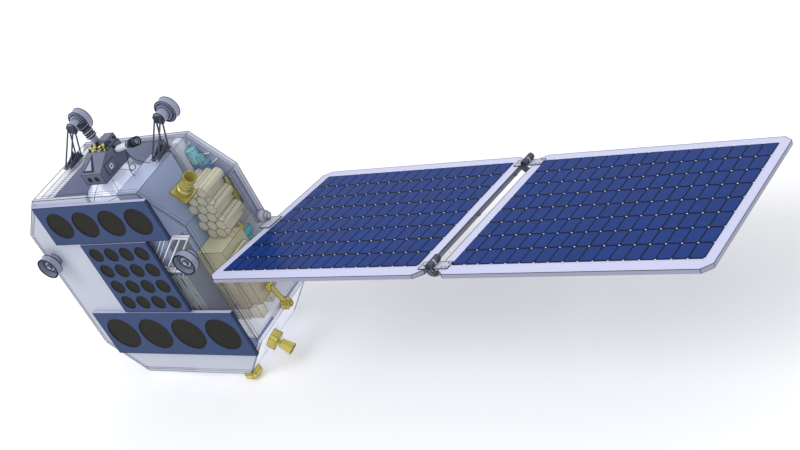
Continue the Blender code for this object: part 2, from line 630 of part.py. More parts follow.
bay_bodies = {}
for node, look, bay, low_shares, high_shares in BLOCK_SHARES:
    low = bay_point(bay, low_shares) + Vector((GAP, GAP, GAP))
    high = bay_point(bay, high_shares) - Vector((GAP, GAP, GAP))
    if node in bay_bodies:
        bay_bodies[node].append(box("block", low, high, None, cutters))
    else:
        bay_bodies[node] = [box(node, low, high, look)]
for node, bay, start_shares, end_shares, radius_share, end_share in ROUND_SHARES:
    bay_width = BAYS[bay][1].x - BAYS[bay][0].x
    bay_bodies[node].append(rod("block", bay_point(bay, start_shares), bay_point(bay, end_shares),
                                bay_width * radius_share,
                                BLOCK_SIDES, None, cutters, bay_width * end_share))
for bodies in bay_bodies.values():
    combine(bodies[0], bodies[1:], "UNION")

# Slanted white frame behind the front face, with two long openings
LOUVRE_BACK_Y = BOX_FRONT_Y - GAP
LOUVRE_SHARES = [
    # across the body's width, up its inside height: lower left, lower right, upper right, upper left
    (0.652, 0.592),
    (0.735, 0.570),
    (0.960, 0.764),
    (0.858, 0.770),
]
OPENING_SHARES = [
    # start and end across the frame
    (0.12, 0.44),
    (0.56, 0.88),
]
OPENING_START_SHARE = 0.08
OPENING_END_SHARE = 0.92
louvre_corners = []
for across_share, up_share in LOUVRE_SHARES:
    louvre_corners.append(Vector((-RIGHT_X + BODY_WIDTH * across_share,
                                  INSIDE_LOW + INSIDE_HEIGHT * up_share)))


def louvre_point(across, along):
    near = louvre_corners[0].lerp(louvre_corners[1], across)
    far = louvre_corners[3].lerp(louvre_corners[2], across)
    point = near.lerp(far, along)
    return (point.x, point.y)


louvre = slab("louvre_frame", [tuple(corner) for corner in louvre_corners], INSIDE_FRONT, LOUVRE_BACK_Y,
              "Y", PALE)
openings = []
for start_share, end_share in OPENING_SHARES:
    outline = [louvre_point(start_share, OPENING_START_SHARE), louvre_point(end_share, OPENING_START_SHARE),
               louvre_point(end_share, OPENING_END_SHARE), louvre_point(start_share, OPENING_END_SHARE)]
    openings.append(slab("opening", outline, INSIDE_FRONT - OVERRUN, LOUVRE_BACK_Y + OVERRUN, "Y", None,
                         cutters))
combine(louvre, openings, "DIFFERENCE")

# Head unit on the top face: a sloping box with two ports and a window plate, fittings and two barrels
HEAD_BASE_Z = TOP_Z + GAP
HEAD_TOP_Z = HEAD_BASE_Z + HEAD_HEIGHT
HEAD_RIGHT_X = HEAD_X + HEAD_WIDTH
HEAD_BACK_Y = HEAD_Y + HEAD_DEPTH
head_outline = [(HEAD_Y, HEAD_BASE_Z), (HEAD_BACK_Y, HEAD_BASE_Z), (HEAD_BACK_Y, HEAD_TOP_Z),
                (HEAD_Y + HEAD_DEPTH * HEAD_RIDGE_SHARE, HEAD_TOP_Z),
                (HEAD_Y, HEAD_BASE_Z + HEAD_FRONT_HEIGHT)]
head = slab("head_box", head_outline, HEAD_X, HEAD_RIGHT_X, "X", SLATE)


def head_point(across, back, up):
    """A point by shares of the head box's width, depth and height."""
    return Vector((HEAD_X + HEAD_WIDTH * across, HEAD_Y + HEAD_DEPTH * back, HEAD_BASE_Z + HEAD_HEIGHT * up))


CUBE_SHARES = ((0.52, 0.68, 0.98), (0.97, 0.98, 1.34))
PLATE_SHARES = [
    # low corner, high corner on the right-hand side, as depth and height
    (0.20, 0.16, 0.56, 0.64),
]
WINDOW_SHARES = [
    (0.32, 0.28, 0.45, 0.52),
]
PORT_SHARES = [0.30, 0.66]
PORT_HEIGHT_SHARE = 0.26
PORT_DEPTH_SHARE = 0.15
plates = []
for back_low, up_low, back_high, up_high in PLATE_SHARES:
    plates.append(box("plate", head_point(1, back_low, up_low) - Vector((OVERRUN, 0, 0)),
                      head_point(1, back_high, up_high) + Vector((HEAD_PLATE, 0, 0)), None, cutters))
cube_low, cube_high = [head_point(*shares) for shares in CUBE_SHARES]
plates.append(box("cube", cube_low, cube_high, None, cutters))
combine(head, plates, "UNION")
head_cuts = []
for back_low, up_low, back_high, up_high in WINDOW_SHARES:
    head_cuts.append(box("window", head_point(1, back_low, up_low) - Vector((HEAD_WINDOW_DEPTH, 0, 0)),
                         head_point(1, back_high, up_high) + Vector((HEAD_PLATE + OVERRUN, 0, 0)),
                         None, cutters))
for port_share in PORT_SHARES:
    head_cuts.append(rod("port", head_point(port_share, 0, PORT_HEIGHT_SHARE) - Vector((0, OVERRUN, 0)),
                         head_point(port_share, PORT_DEPTH_SHARE, PORT_HEIGHT_SHARE),
                         HEAD_PORT_RADIUS, HEAD_PORT_SIDES, None, cutters))
combine(head, head_cuts, "DIFFERENCE")

FITTING_SHARES = [
    # across, back, height and radius as shares of the head's height, lean across and back
    (0.26, 0.585, 0.14, 0.062, -0.060, -0.040),
    (0.43, 0.592, 0.18, 0.070, 0.020, -0.050),
    (0.62, 0.600, 0.13, 0.062, 0.060, -0.040),
    (0.81, 0.615, 0.20, 0.070, 0.040, -0.030),
    (0.34, 0.630, 0.22, 0.066, 0.000, 0.010),
    (0.72, 0.606, 0.16, 0.062, 0.010, 0.000),
]
FITTING_PAD_SHARES = ((0.200, 0.523), (0.952, 0.660))
PAD_LOW = head_point(FITTING_PAD_SHARES[0][0], FITTING_PAD_SHARES[0][1], 1)
PAD_LOW.z += GAP
PAD_HIGH = head_point(FITTING_PAD_SHARES[1][0], FITTING_PAD_SHARES[1][1], 1)
PAD_HIGH.z += GAP + FITTING_BASE
fittings = box("fittings", PAD_LOW, PAD_HIGH, GOLD)
stems = []
for across, back, height, radius, lean_across, lean_back in FITTING_SHARES:
    foot = head_point(across, back, 1) + Vector((0, 0, GAP + FITTING_BASE / 2))
    tip = head_point(across + lean_across, back + lean_back, 1 + height) + Vector((0, 0, GAP + FITTING_BASE))
    stems.append(rod("stem", foot, tip, HEAD_HEIGHT * radius, FITTING_SIDES, None, cutters))
combine(fittings, stems, "UNION")

BARREL_LEFT_PROFILE = [
    # radius and height from the mouth's floor out and back to the base, as shares of the length
    (0.0, 0.79), (0.141, 0.79), (0.167, 1.00), (0.199, 1.00), (0.199, 0.79), (0.179, 0.77),
    (0.179, 0.64), (0.212, 0.63), (0.212, 0.54), (0.179, 0.53), (0.179, 0.44), (0.212, 0.43),
    (0.212, 0.34), (0.160, 0.31), (0.160, 0.0), (0.0, 0.0),
]
BARREL_RIGHT_PROFILE = [
    (0.0, 0.92), (0.096, 0.92), (0.111, 1.00), (0.130, 1.00), (0.130, 0.88), (0.101, 0.87),
    (0.101, 0.80), (0.125, 0.79), (0.125, 0.73), (0.101, 0.72), (0.101, 0.0), (0.0, 0.0),
]
BARREL_TILT_SHARE = 0.22
BARREL_LEFT_SHARES = (0.03, 0.908, 1.0)
BARREL_RIGHT_SHARES = (1.0, 0.785, 0.722)
BARREL_LEFT_BASE = head_point(*BARREL_LEFT_SHARES) + Vector((0, 0, GAP + BARREL_LEFT_SEAT))
BARREL_RIGHT_BASE = head_point(*BARREL_RIGHT_SHARES) + Vector((GAP + BARREL_RIGHT_SEAT, 0, 0))


def barrel(name, length, profile, base, direction):
    turned(name, [(radius * length, height * length) for radius, height in profile], BARREL_SIDES,
           on_face(base, direction), LAVENDER)


barrel("barrel_left", BARREL_LEFT_LENGTH, BARREL_LEFT_PROFILE, BARREL_LEFT_BASE,
       (-BARREL_TILT_SHARE, 0.0, 1.0))
barrel("barrel_right", BARREL_RIGHT_LENGTH, BARREL_RIGHT_PROFILE, BARREL_RIGHT_BASE,
       (1.0, 0.0, BARREL_TILT_SHARE))

# Gold horn on the upper right chamfer and thrusters on the right side
CHAMFER_LENGTH = math.hypot(CHAMFER_X, CHAMFER_Z)
UPPER_NORMAL = Vector((CHAMFER_Z, 0.0, CHAMFER_X)) / CHAMFER_LENGTH
LOWER_NORMAL = Vector((CHAMFER_Z, 0.0, -CHAMFER_X)) / CHAMFER_LENGTH


def chamfer_point(share, depth_share, normal):
    """A point on a right-hand chamfer, by shares of the way to the side and of the body's depth."""
    upper = normal.z > 0
    start_z = TOP_Z if upper else BASE_Z
    rise = -CHAMFER_Z if upper else CHAMFER_Z
    return Vector((BODY_TOP_WIDTH / 2 + CHAMFER_X * share, FRONT_Y + BODY_DEPTH * depth_share,
                   start_z + rise * share))


HORN_PROFILE = [
    # radius and height as shares of the length, from the bottom of the mouth round to the base
    (0.0, 0.56), (0.07, 0.56), (0.20, 1.00), (0.25, 1.00), (0.25, 0.88), (0.20, 0.82), (0.20, 0.54),
    (0.24, 0.51), (0.24, 0.40), (0.30, 0.32), (0.30, 0.22), (0.19, 0.16), (0.19, 0.05), (0.0, 0.05),
]
HORN_SHARES = (0.61, 0.32)
horn_place = on_face(chamfer_point(*HORN_SHARES, UPPER_NORMAL) + UPPER_NORMAL * GAP, UPPER_NORMAL)
horn = turned("horn", [(radius * HORN_LENGTH, height * HORN_LENGTH) for radius, height in HORN_PROFILE],
              HORN_STEPS, Matrix.Identity(4), GOLD)
half_plate = HORN_PLATE_WIDTH / 2
horn_plate = box("plate", (-half_plate, -half_plate, 0.0), (half_plate, half_plate, HORN_PLATE), None,
                 cutters)
combine(horn, [horn_plate], "UNION")
horn.data.transform(horn_place)

SIDE_BACK_SHARE = 0.0733
SIDE_UP_SHARE = 0.196
CORNER_INSET_SHARE = 0.06
CORNER_BACK_SHARE = 0.055
CHAMFER_THRUSTER_SHARES = (0.50, 0.333)
SIDE_BASE = Vector((RIGHT_X + GAP, BODY_DEPTH * SIDE_BACK_SHARE, BASE_Z + BODY_HEIGHT * SIDE_UP_SHARE))
CORNER_BASE = Vector((BODY_TOP_WIDTH / 2 - CHAMFER_X * CORNER_INSET_SHARE,
                      FRONT_Y + BODY_DEPTH * CORNER_BACK_SHARE, BASE_Z - GAP))
THRUSTERS = [
    # name, base, direction, block half width, half depth and height, neck, nozzle radius and length
    ("thruster_chamfer", chamfer_point(*CHAMFER_THRUSTER_SHARES, LOWER_NORMAL) + LOWER_NORMAL * GAP, LOWER_NORMAL,
     (0.022, 0.032, 0.028), (0.010, 0.0205, 0.042)),
    ("thruster_side", SIDE_BASE, Vector((1.0, 0.0, 0.0)), (0.018, 0.018, 0.014), (0.002, 0.0110, 0.012)),
    ("thruster_corner", CORNER_BASE, Vector((0.0, 0.0, -1.0)), (0.025, 0.025, 0.014),
     (0.002, 0.0110, 0.006)),
]
for name, base, direction, block_sizes, nozzle_sizes in THRUSTERS:
    half_width, half_depth, height = block_sizes
    neck_length, nozzle_radius, nozzle_length = nozzle_sizes
    inset = half_width * BLOCK_CORNER_SHARE
    outline = [(-half_width + inset, -half_depth), (half_width - inset, -half_depth),
               (half_width, -half_depth + inset),
               (half_width, half_depth - inset), (half_width - inset, half_depth),
               (-half_width + inset, half_depth),
               (-half_width, half_depth - inset), (-half_width, -half_depth + inset)]
    block = slab(name, outline, 0.0, height, "Z", GOLD)
    neck_top = height + neck_length
    neck = rod("neck", (0, 0, height / 2), (0, 0, neck_top + OVERRUN), THRUSTER_NECK_RADIUS, NOZZLE_SIDES,
               None, cutters)
    nozzle = rod("nozzle", (0, 0, neck_top), (0, 0, neck_top + nozzle_length),
                 nozzle_radius * NOZZLE_WALL_SHARE,
                 NOZZLE_SIDES, None, cutters, nozzle_radius)
    combine(block, [neck, nozzle], "UNION")
    mouth = rod("mouth", (0, 0, neck_top + nozzle_length / 2), (0, 0, neck_top + nozzle_length + OVERRUN),
                nozzle_radius * NOZZLE_WALL_SHARE / 2, NOZZLE_SIDES, None, cutters,
                nozzle_radius * NOZZLE_WALL_SHARE)
    combine(block, [mouth], "DIFFERENCE")
    block.data.transform(on_face(base, direction))

side_thruster = bpy.data.objects["thruster_side"]
ARM_FOOT = SIDE_BASE + Vector((ARM_RADIUS + GAP, 0.0, 0.0))
ARM_FORWARD_SHARE = 0.07
ARM_RISE_SHARE = 0.125
ARM_TIP = ARM_FOOT + Vector((0.0, -BODY_DEPTH * ARM_FORWARD_SHARE, BODY_HEIGHT * ARM_RISE_SHARE))
LUG_HALF_SHARE = 1.5
LUG_HALF = ARM_RADIUS * LUG_HALF_SHARE
arm = rod("arm", ARM_FOOT, ARM_TIP, ARM_RADIUS, ARM_SIDES, None, cutters)
lug = box("lug", (SIDE_BASE.x, ARM_TIP.y - LUG_HALF, ARM_TIP.z - LUG_HALF),
          (SIDE_BASE.x + LUG_HALF, ARM_TIP.y + LUG_HALF, ARM_TIP.z + LUG_HALF), None, cutters)
combine(side_thruster, [arm, lug], "UNION")

# Solar wing, built flat about the drive axis and then tilted to its pose
wing_turn = Matrix.Translation((0.0, DRIVE_Y, DRIVE_Z)) @ Matrix.Rotation(WING_TILT, 4, "X")
ROOT_X = RIGHT_X + ROOT_GAP
PANEL_TOP = PANEL_THICKNESS / 2 - PANEL_DROP
PANEL_BOTTOM = -PANEL_THICKNESS / 2 - PANEL_DROP


def wing_panel(name, start_x):
    end_x = start_x + PANEL_LENGTH
    low_y = PANEL_CENTRE_Y - PANEL_WIDTH / 2
    high_y = PANEL_CENTRE_Y + PANEL_WIDTH / 2
    corner = PANEL_CORNER
    outline = [(start_x + corner, low_y), (end_x - corner, low_y), (end_x, low_y + corner),
               (end_x, high_y - corner), (end_x - corner, high_y), (start_x + corner, high_y),
               (start_x, high_y - corner), (start_x, low_y + corner)]
    panel = slab(name, outline, PANEL_BOTTOM, PANEL_TOP, "Z", LAVENDER)
    pockets = []
    pocket_x = (PANEL_LENGTH - 2 * corner - (PANEL_RIB_COLUMNS - 1) * PANEL_RIB) / PANEL_RIB_COLUMNS
    pocket_y = (PANEL_WIDTH - 2 * corner - (PANEL_RIB_ROWS - 1) * PANEL_RIB) / PANEL_RIB_ROWS
    for column in range(PANEL_RIB_COLUMNS):
        for row in range(PANEL_RIB_ROWS):
            x = start_x + corner + column * (pocket_x + PANEL_RIB)
            y = low_y + corner + row * (pocket_y + PANEL_RIB)
            pockets.append(box("pocket", (x, y, PANEL_BOTTOM - OVERRUN),
                               (x + pocket_x, y + pocket_y, PANEL_TOP - PANEL_SHEET), None, cutters))
    combine(panel, pockets, "DIFFERENCE")
    field_y = low_y + MARGIN_FRONT
    cells = box(name.replace("panel", "cells"), (start_x + MARGIN_SIDE, field_y, PANEL_TOP + GAP),
                (end_x - MARGIN_SIDE, field_y + CELL_ROWS * CELL_PITCH_Y,
                 PANEL_TOP + GAP + CELL_FIELD_THICKNESS), CELL_BLUE)
    for obj in (panel, cells):
        obj.data.transform(wing_turn)


wing_panel("inner_panel", ROOT_X)
OUTER_START = ROOT_X + PANEL_LENGTH + PANEL_GAP
wing_panel("outer_panel", OUTER_START)

# Drive housing on the body and the yoke on its shaft
drive = rod("drive_housing", (RIGHT_X + GAP, 0, 0), (RIGHT_X + GAP + DRIVE_FLANGE, 0, 0),
            DRIVE_FLANGE_RADIUS, 24, PALE)
barrel = rod("barrel", (RIGHT_X + GAP, 0, 0), (RIGHT_X + GAP + DRIVE_LENGTH, 0, 0), DRIVE_RADIUS, 24, None,
             cutters)
combine(drive, [barrel], "UNION")
drive.data.transform(Matrix.Translation((0.0, DRIVE_Y, DRIVE_Z)))

SHAFT_START = RIGHT_X + 2 * GAP + DRIVE_LENGTH
YOKE_END = ROOT_X - YOKE_SETBACK
yoke = box("yoke", (SHAFT_START + YOKE_THICKNESS / 2, PANEL_CENTRE_Y - YOKE_WIDTH / 2, PANEL_TOP + GAP),
           (ROOT_X + YOKE_LAP, PANEL_CENTRE_Y + YOKE_WIDTH / 2, PANEL_TOP + GAP + YOKE_THICKNESS), PALE)
shaft = rod("shaft", (SHAFT_START, 0, 0), (YOKE_END, 0, 0), SHAFT_RADIUS, 16, None, cutters)
web = box("web", (SHAFT_START + YOKE_THICKNESS, -YOKE_WEB / 2, PANEL_TOP + GAP + YOKE_THICKNESS / 2),
          (YOKE_END - YOKE_THICKNESS, YOKE_WEB / 2, 0.0), None, cutters)
combine(yoke, [shaft, web], "UNION")
yoke.data.transform(wing_turn)

# Panel hinges: leaves on the panels' faces, knuckles about a pin in the gap
HINGE_X = ROOT_X + PANEL_LENGTH + PANEL_GAP / 2
HINGE_Z = PANEL_TOP + HINGE_AXIS_HEIGHT


def hinge(name, centre_y):
    leaf_low = PANEL_TOP + GAP
    leaf_high = leaf_low + HINGE_PLATE
    half = HINGE_PLATE_WIDTH / 2
    inner = box(name + "_inner_leaf", (HINGE_X - PANEL_GAP / 2 - HINGE_INNER_LAP, centre_y - half, leaf_low),
                (HINGE_X - HINGE_RADIUS / 2, centre_y + half, leaf_high), PALE)
    outer = box(name + "_outer_leaf", (HINGE_X + HINGE_RADIUS / 2, centre_y - half, leaf_low),
                (HINGE_X + PANEL_GAP / 2 + HINGE_OUTER_LAP, centre_y + half, leaf_high), PALE)
    third = HINGE_LENGTH / 3
    ends = []
    for edge in (-1, 1):
        near = centre_y + edge * (third / 2 + KNUCKLE_GAP)
        far = centre_y + edge * HINGE_LENGTH / 2
        ends.append(rod("knuckle", (HINGE_X, near, HINGE_Z), (HINGE_X, far, HINGE_Z), HINGE_RADIUS, 16,
                        None, cutters))
        web_y = sorted((near, far))
        ends.append(box("web", (HINGE_X - HINGE_RADIUS, web_y[0], leaf_low), (HINGE_X, web_y[1], HINGE_Z),
                        None, cutters))
    combine(inner, ends, "UNION")
    middle = rod("knuckle", (HINGE_X, centre_y - third / 2, HINGE_Z),
                 (HINGE_X, centre_y + third / 2, HINGE_Z),
                 HINGE_RADIUS, 16, None, cutters)
    web = box("web", (HINGE_X, centre_y - third / 2, leaf_low),
              (HINGE_X + HINGE_RADIUS, centre_y + third / 2, HINGE_Z),
              None, cutters)
    combine(outer, [middle, web], "UNION")
    for obj in (inner, outer):
        obj.data.transform(wing_turn)


hinge("hinge_front", PANEL_CENTRE_Y - PANEL_WIDTH / 2 + HINGE_INSET)
hinge("hinge_back", PANEL_CENTRE_Y + PANEL_WIDTH / 2 - HINGE_INSET)

# Moving pieces get their origin on the axis they turn about
DRIVE_AXIS = Vector((SHAFT_START, DRIVE_Y, DRIVE_Z))
FOLD_AXIS = wing_turn @ Vector((HINGE_X, PANEL_CENTRE_Y, HINGE_Z))
MOVING = [
    # node, origin
    ("yoke", DRIVE_AXIS), ("inner_panel", DRIVE_AXIS), ("inner_cells", DRIVE_AXIS),
    ("hinge_front_inner_leaf", DRIVE_AXIS), ("hinge_back_inner_leaf", DRIVE_AXIS),
    ("outer_panel", FOLD_AXIS), ("outer_cells", FOLD_AXIS),
    ("hinge_front_outer_leaf", FOLD_AXIS), ("hinge_back_outer_leaf", FOLD_AXIS),
]
for node, origin in MOVING:
    moving = bpy.data.objects[node]
    moving.data.transform(Matrix.Translation(-origin))
    moving.location = origin
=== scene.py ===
"""Looks of the eight-sided satellite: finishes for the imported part, fine trim, solar cells and a plain studio."""

import json
import math

import bmesh
import bpy
from mathutils import Matrix, Vector


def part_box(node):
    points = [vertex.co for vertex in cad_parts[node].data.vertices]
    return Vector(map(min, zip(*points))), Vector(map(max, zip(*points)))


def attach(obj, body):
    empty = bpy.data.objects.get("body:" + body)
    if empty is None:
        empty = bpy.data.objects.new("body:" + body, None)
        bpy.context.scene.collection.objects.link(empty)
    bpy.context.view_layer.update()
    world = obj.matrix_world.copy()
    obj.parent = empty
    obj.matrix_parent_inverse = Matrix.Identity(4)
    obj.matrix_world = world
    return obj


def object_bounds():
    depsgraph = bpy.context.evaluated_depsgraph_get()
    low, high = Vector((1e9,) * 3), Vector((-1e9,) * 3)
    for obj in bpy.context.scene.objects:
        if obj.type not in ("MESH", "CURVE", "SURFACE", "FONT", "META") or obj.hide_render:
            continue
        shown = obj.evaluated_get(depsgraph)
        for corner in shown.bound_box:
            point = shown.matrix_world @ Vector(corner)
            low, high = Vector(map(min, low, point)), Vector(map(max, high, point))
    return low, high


bl_info = {
    "name": "Satellite looks",
    "version": (1, 0, 0),
    "blender": (4, 5, 0),
    "location": "View3D > Sidebar > Satellite",
    "description": "Dresses the packed satellite with finishes, solar cells, seams and small fittings",
    "category": "Object",
}

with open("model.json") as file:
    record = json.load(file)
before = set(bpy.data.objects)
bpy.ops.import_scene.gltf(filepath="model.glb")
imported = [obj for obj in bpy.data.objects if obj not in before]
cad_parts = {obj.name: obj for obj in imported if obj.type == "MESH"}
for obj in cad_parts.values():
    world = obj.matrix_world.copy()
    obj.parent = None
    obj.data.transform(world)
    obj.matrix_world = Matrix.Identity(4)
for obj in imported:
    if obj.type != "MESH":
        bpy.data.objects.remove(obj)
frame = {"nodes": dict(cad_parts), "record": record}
CAD_LOW, CAD_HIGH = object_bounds()

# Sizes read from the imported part
FRONT_LOW, FRONT_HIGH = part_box("front_panel_left")
BACK_LOW, BACK_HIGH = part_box("skin_back")
PANEL_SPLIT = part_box("front_panel_right")[0].x
TOP_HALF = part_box("skin_top")[1].x
BOX_LOW, BOX_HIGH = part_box("centre_box")
BODY_X = BACK_HIGH.x
BODY_LOW_Z = BACK_LOW.z
BODY_HIGH_Z = BACK_HIGH.z
FRONT_Y = FRONT_LOW.y
BACK_Y = BACK_HIGH.y
SKIN = FRONT_HIGH.y - FRONT_LOW.y
CHAMFER_X = BODY_X - TOP_HALF
CHAMFER_Z = BODY_HIGH_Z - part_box("skin_right")[1].z
LEAN = CHAMFER_X / CHAMFER_Z

# Sizes that the boxes don't give
WING_TILT = math.radians(-11.25)
TUBE_RADIUS = 0.019
TUBE_PITCH = TUBE_RADIUS * 1.92
TUBE_ROW_PITCH = TUBE_PITCH * math.sin(math.pi / 3)
HEAD_WIDTH = 0.084
HEAD_HEIGHT = 0.072
CELL_COLUMNS = 17
CELL_ROWS = 8
CELL_THICKNESS = 0.0004
INSERT_HEIGHT = 0.0006
CORD_RADIUS = 0.0013
WELD = 0.000005
CREASE = math.radians(35)
CUPS = ("cup_front_left", "cup_front_right", "cup_rear_left", "cup_rear_right")
ARRAYS = (
    # node, disc radius, rows, pitch
    ("upper_array", 0.05, 1, 0.1145),
    ("middle_array", 0.0267, 4, 0.0667),
    ("lower_array", 0.0645, 1, 0.1465),
)


# Shader building
class Shade:
    """A node socket whose arithmetic adds Math nodes."""

    def __init__(self, tree, socket=None):
        self.tree = tree
        self.socket = socket

    def node(self, kind, settings=None, inputs=None, output=0):
        made = self.tree.nodes.new(kind)
        for name, value in (settings or {}).items():
            if name == "stops":
                ramp = made.color_ramp
                while len(ramp.elements) < len(value):
                    ramp.elements.new(0.5)
                for element, (position, colour) in zip(ramp.elements, value):
                    element.position = position
                    element.color = (*colour, 1.0)
            else:
                setattr(made, name, value)
        for key, value in (inputs or {}).items():
            if isinstance(value, Shade):
                self.tree.links.new(value.socket, made.inputs[key])
            else:
                made.inputs[key].default_value = value
        return Shade(self.tree, made.outputs[output])

    def maths(self, operation, *values):
        return self.node("ShaderNodeMath", {"operation": operation}, dict(enumerate(values)))

    def __add__(self, other):
        return self.maths("ADD", self, other)

    __radd__ = __add__

    def __sub__(self, other):
        return self.maths("SUBTRACT", self, other)

    def __rsub__(self, other):
        return self.maths("SUBTRACT", other, self)

    def __mul__(self, other):
        return self.maths("MULTIPLY", self, other)

    __rmul__ = __mul__

    def __lt__(self, other):
        return self.maths("LESS_THAN", self, other)

    def __gt__(self, other):
        return self.maths("GREATER_THAN", self, other)


def noise(point, scale, detail):
    return point.node("ShaderNodeTexNoise", None, {"Vector": point, "Scale": scale, "Detail": detail})


def patches(point, scale):
    """A random number for each small patch of the surface."""
    patch = point.node("ShaderNodeTexVoronoi", {"feature": "F1"}, {"Vector": point, "Scale": scale}, 1)
    return point.node("ShaderNodeSeparateColor", None, {0: patch})


def along(point, axis):
    return point.node("ShaderNodeSeparateXYZ", None, {0: point}, axis)


def blend(factor, first, second):
    """A colour between two others."""
    first, second = (value if isinstance(value, Shade) else (*value, 1.0) for value in (first, second))
    return factor.node("ShaderNodeMix", {"data_type": "RGBA"}, {0: factor, 6: first, 7: second}, 2)


def bumps(height, strength, distance):
    return height.node("ShaderNodeBump", None, {"Strength": strength, "Distance": distance, "Height": height})


def start(name, roughness, metallic=0.0, shine=0.5, coat=0.0):
    """A new material with its even values set, its surface and the point in the part's own coordinates."""
    material = bpy.data.materials.new(name)
    material.use_nodes = True
    surface = material.node_tree.nodes["Principled BSDF"]
    for label, value in (("Roughness", roughness), ("Metallic", metallic), ("Specular IOR Level", shine),
                         ("Coat Weight", coat), ("Coat Roughness", roughness * 0.6)):
        surface.inputs[label].default_value = value
    return material, surface, Shade(material.node_tree).node("ShaderNodeTexCoord", None, None, 3)


def join(value, surface, name):
    value.tree.links.new(value.socket, surface.inputs[name])


def add_painted_glow(tone, surface, glow):
    """Painted light: an emission in the surface's own colour, a little light of its own for faces that the clear
    skins would leave too dark.
    """
    if glow:
        join(tone, surface, "Emission Color")
        surface.inputs["Emission Strength"].default_value = glow


def satin(name, colour, roughness, metallic, mottle=0.06, bump=0.05, coat=0.0, shine=0.25, top=None, glow=0.0):
    """Painted or anodised metal: soft mottling, a fine grain and, if given, another colour on upper faces, which is
    painted light from above, and a glow of painted light.
    """
    material, surface, point = start(name, roughness, metallic, shine, coat)
    cloud = noise(point, 14.0, 3.0)
    fine = noise(point, 900.0, 2.0)
    darker = [channel * (1.0 - mottle * 2) for channel in colour]
    lighter = [min(1.0, channel * (1.0 + mottle)) for channel in colour]
    tone = blend(cloud * 0.7 + fine * 0.3, darker, lighter)
    # painted light: faces that point up take the top colour, as if lit from above
    if top is not None:
        facing = point.node("ShaderNodeTexCoord", None, None, 1)
        tone = blend(along(facing, 2) > 0.7, tone, top)
    join(tone, surface, "Base Color")
    # painted light: an emission in the tone, when a glow is given
    add_painted_glow(tone, surface, glow)
    join(cloud * 0.12 + (roughness - 0.06), surface, "Roughness")
    join(bumps(fine, bump, 0.0004), surface, "Normal")
    return material


def clear_skin(name, colour, alpha):
    """A thin clear panel with a faint haze that is a little denser in soft patches."""
    material, surface, point = start(name, 0.12, shine=0.1)
    haze = noise(point, 6.0, 2.0)
    join(blend(haze, [channel * 0.93 for channel in colour], colour), surface, "Base Color")
    join(haze * 0.02 + (alpha - 0.01), surface, "Alpha")
    return material


def cell_blue(name, deep, bright):
    """Solar cell glass: small patches of slightly different blue with fine lines across."""
    material, surface, point = start(name, 0.35, shine=0.05)
    shift = patches(point, 22.0)
    finger = point.maths("PINGPONG", along(point, 1), 0.0012) < 0.0001
    tone = blend(noise(point, 5.0, 1.0) * 0.5 + shift * 0.5, deep, bright)
    join(blend(finger * 0.1, tone, (0.03, 0.07, 0.24)), surface, "Base Color")
    join(shift * 0.08 + 0.3, surface, "Roughness")
    return material


def woven(name, colour, second, pitch, roughness):
    """A plate with a fine square weave."""
    material, surface, point = start(name, roughness, shine=0.1)
    across, up = (point.maths("PINGPONG", along(point, axis), pitch) * (1.0 / pitch) for axis in (0, 2))
    weave = across * up
    join(blend(weave * 0.6 + noise(point, 25.0, 3.0) * 0.4, colour, second), surface, "Base Color")
    join(bumps(weave, 0.1, 0.0003), surface, "Normal")
    return material


def zoned(name, box, stops, axis=2, glow=0.0):
    """Painted metal whose colour changes along one axis between the ends of a box, with an optional glow of painted
    light.
    """
    material, surface, point = start(name, 0.4, 0.1, 0.25)
    low, high = box
    share = point.node("ShaderNodeMapRange", None,
                       {"Value": along(point, axis), "From Min": low[axis], "From Max": high[axis]})
    grain = noise(point, 60.0, 2.0)
    ramp = point.node("ShaderNodeValToRGB", {"stops": stops}, {0: share + grain * 0.04})
    join(ramp, surface, "Base Color")
    # painted light: an emission in the ramp's colour, when a glow is given
    add_painted_glow(ramp, surface, glow)
    join(grain * 0.15 + 0.35, surface, "Roughness")
    return material


def mixed(name, first, second, third, scale):
    """Small fittings in three colours, mixed in fine patches."""
    material, surface, point = start(name, 0.4, 0.2)
    pick = patches(point, scale)
    join(blend(pick > 0.78, blend(pick > 0.42, first, second), third), surface, "Base Color")
    join(pick * 0.2 + 0.3, surface, "Roughness")
    return material


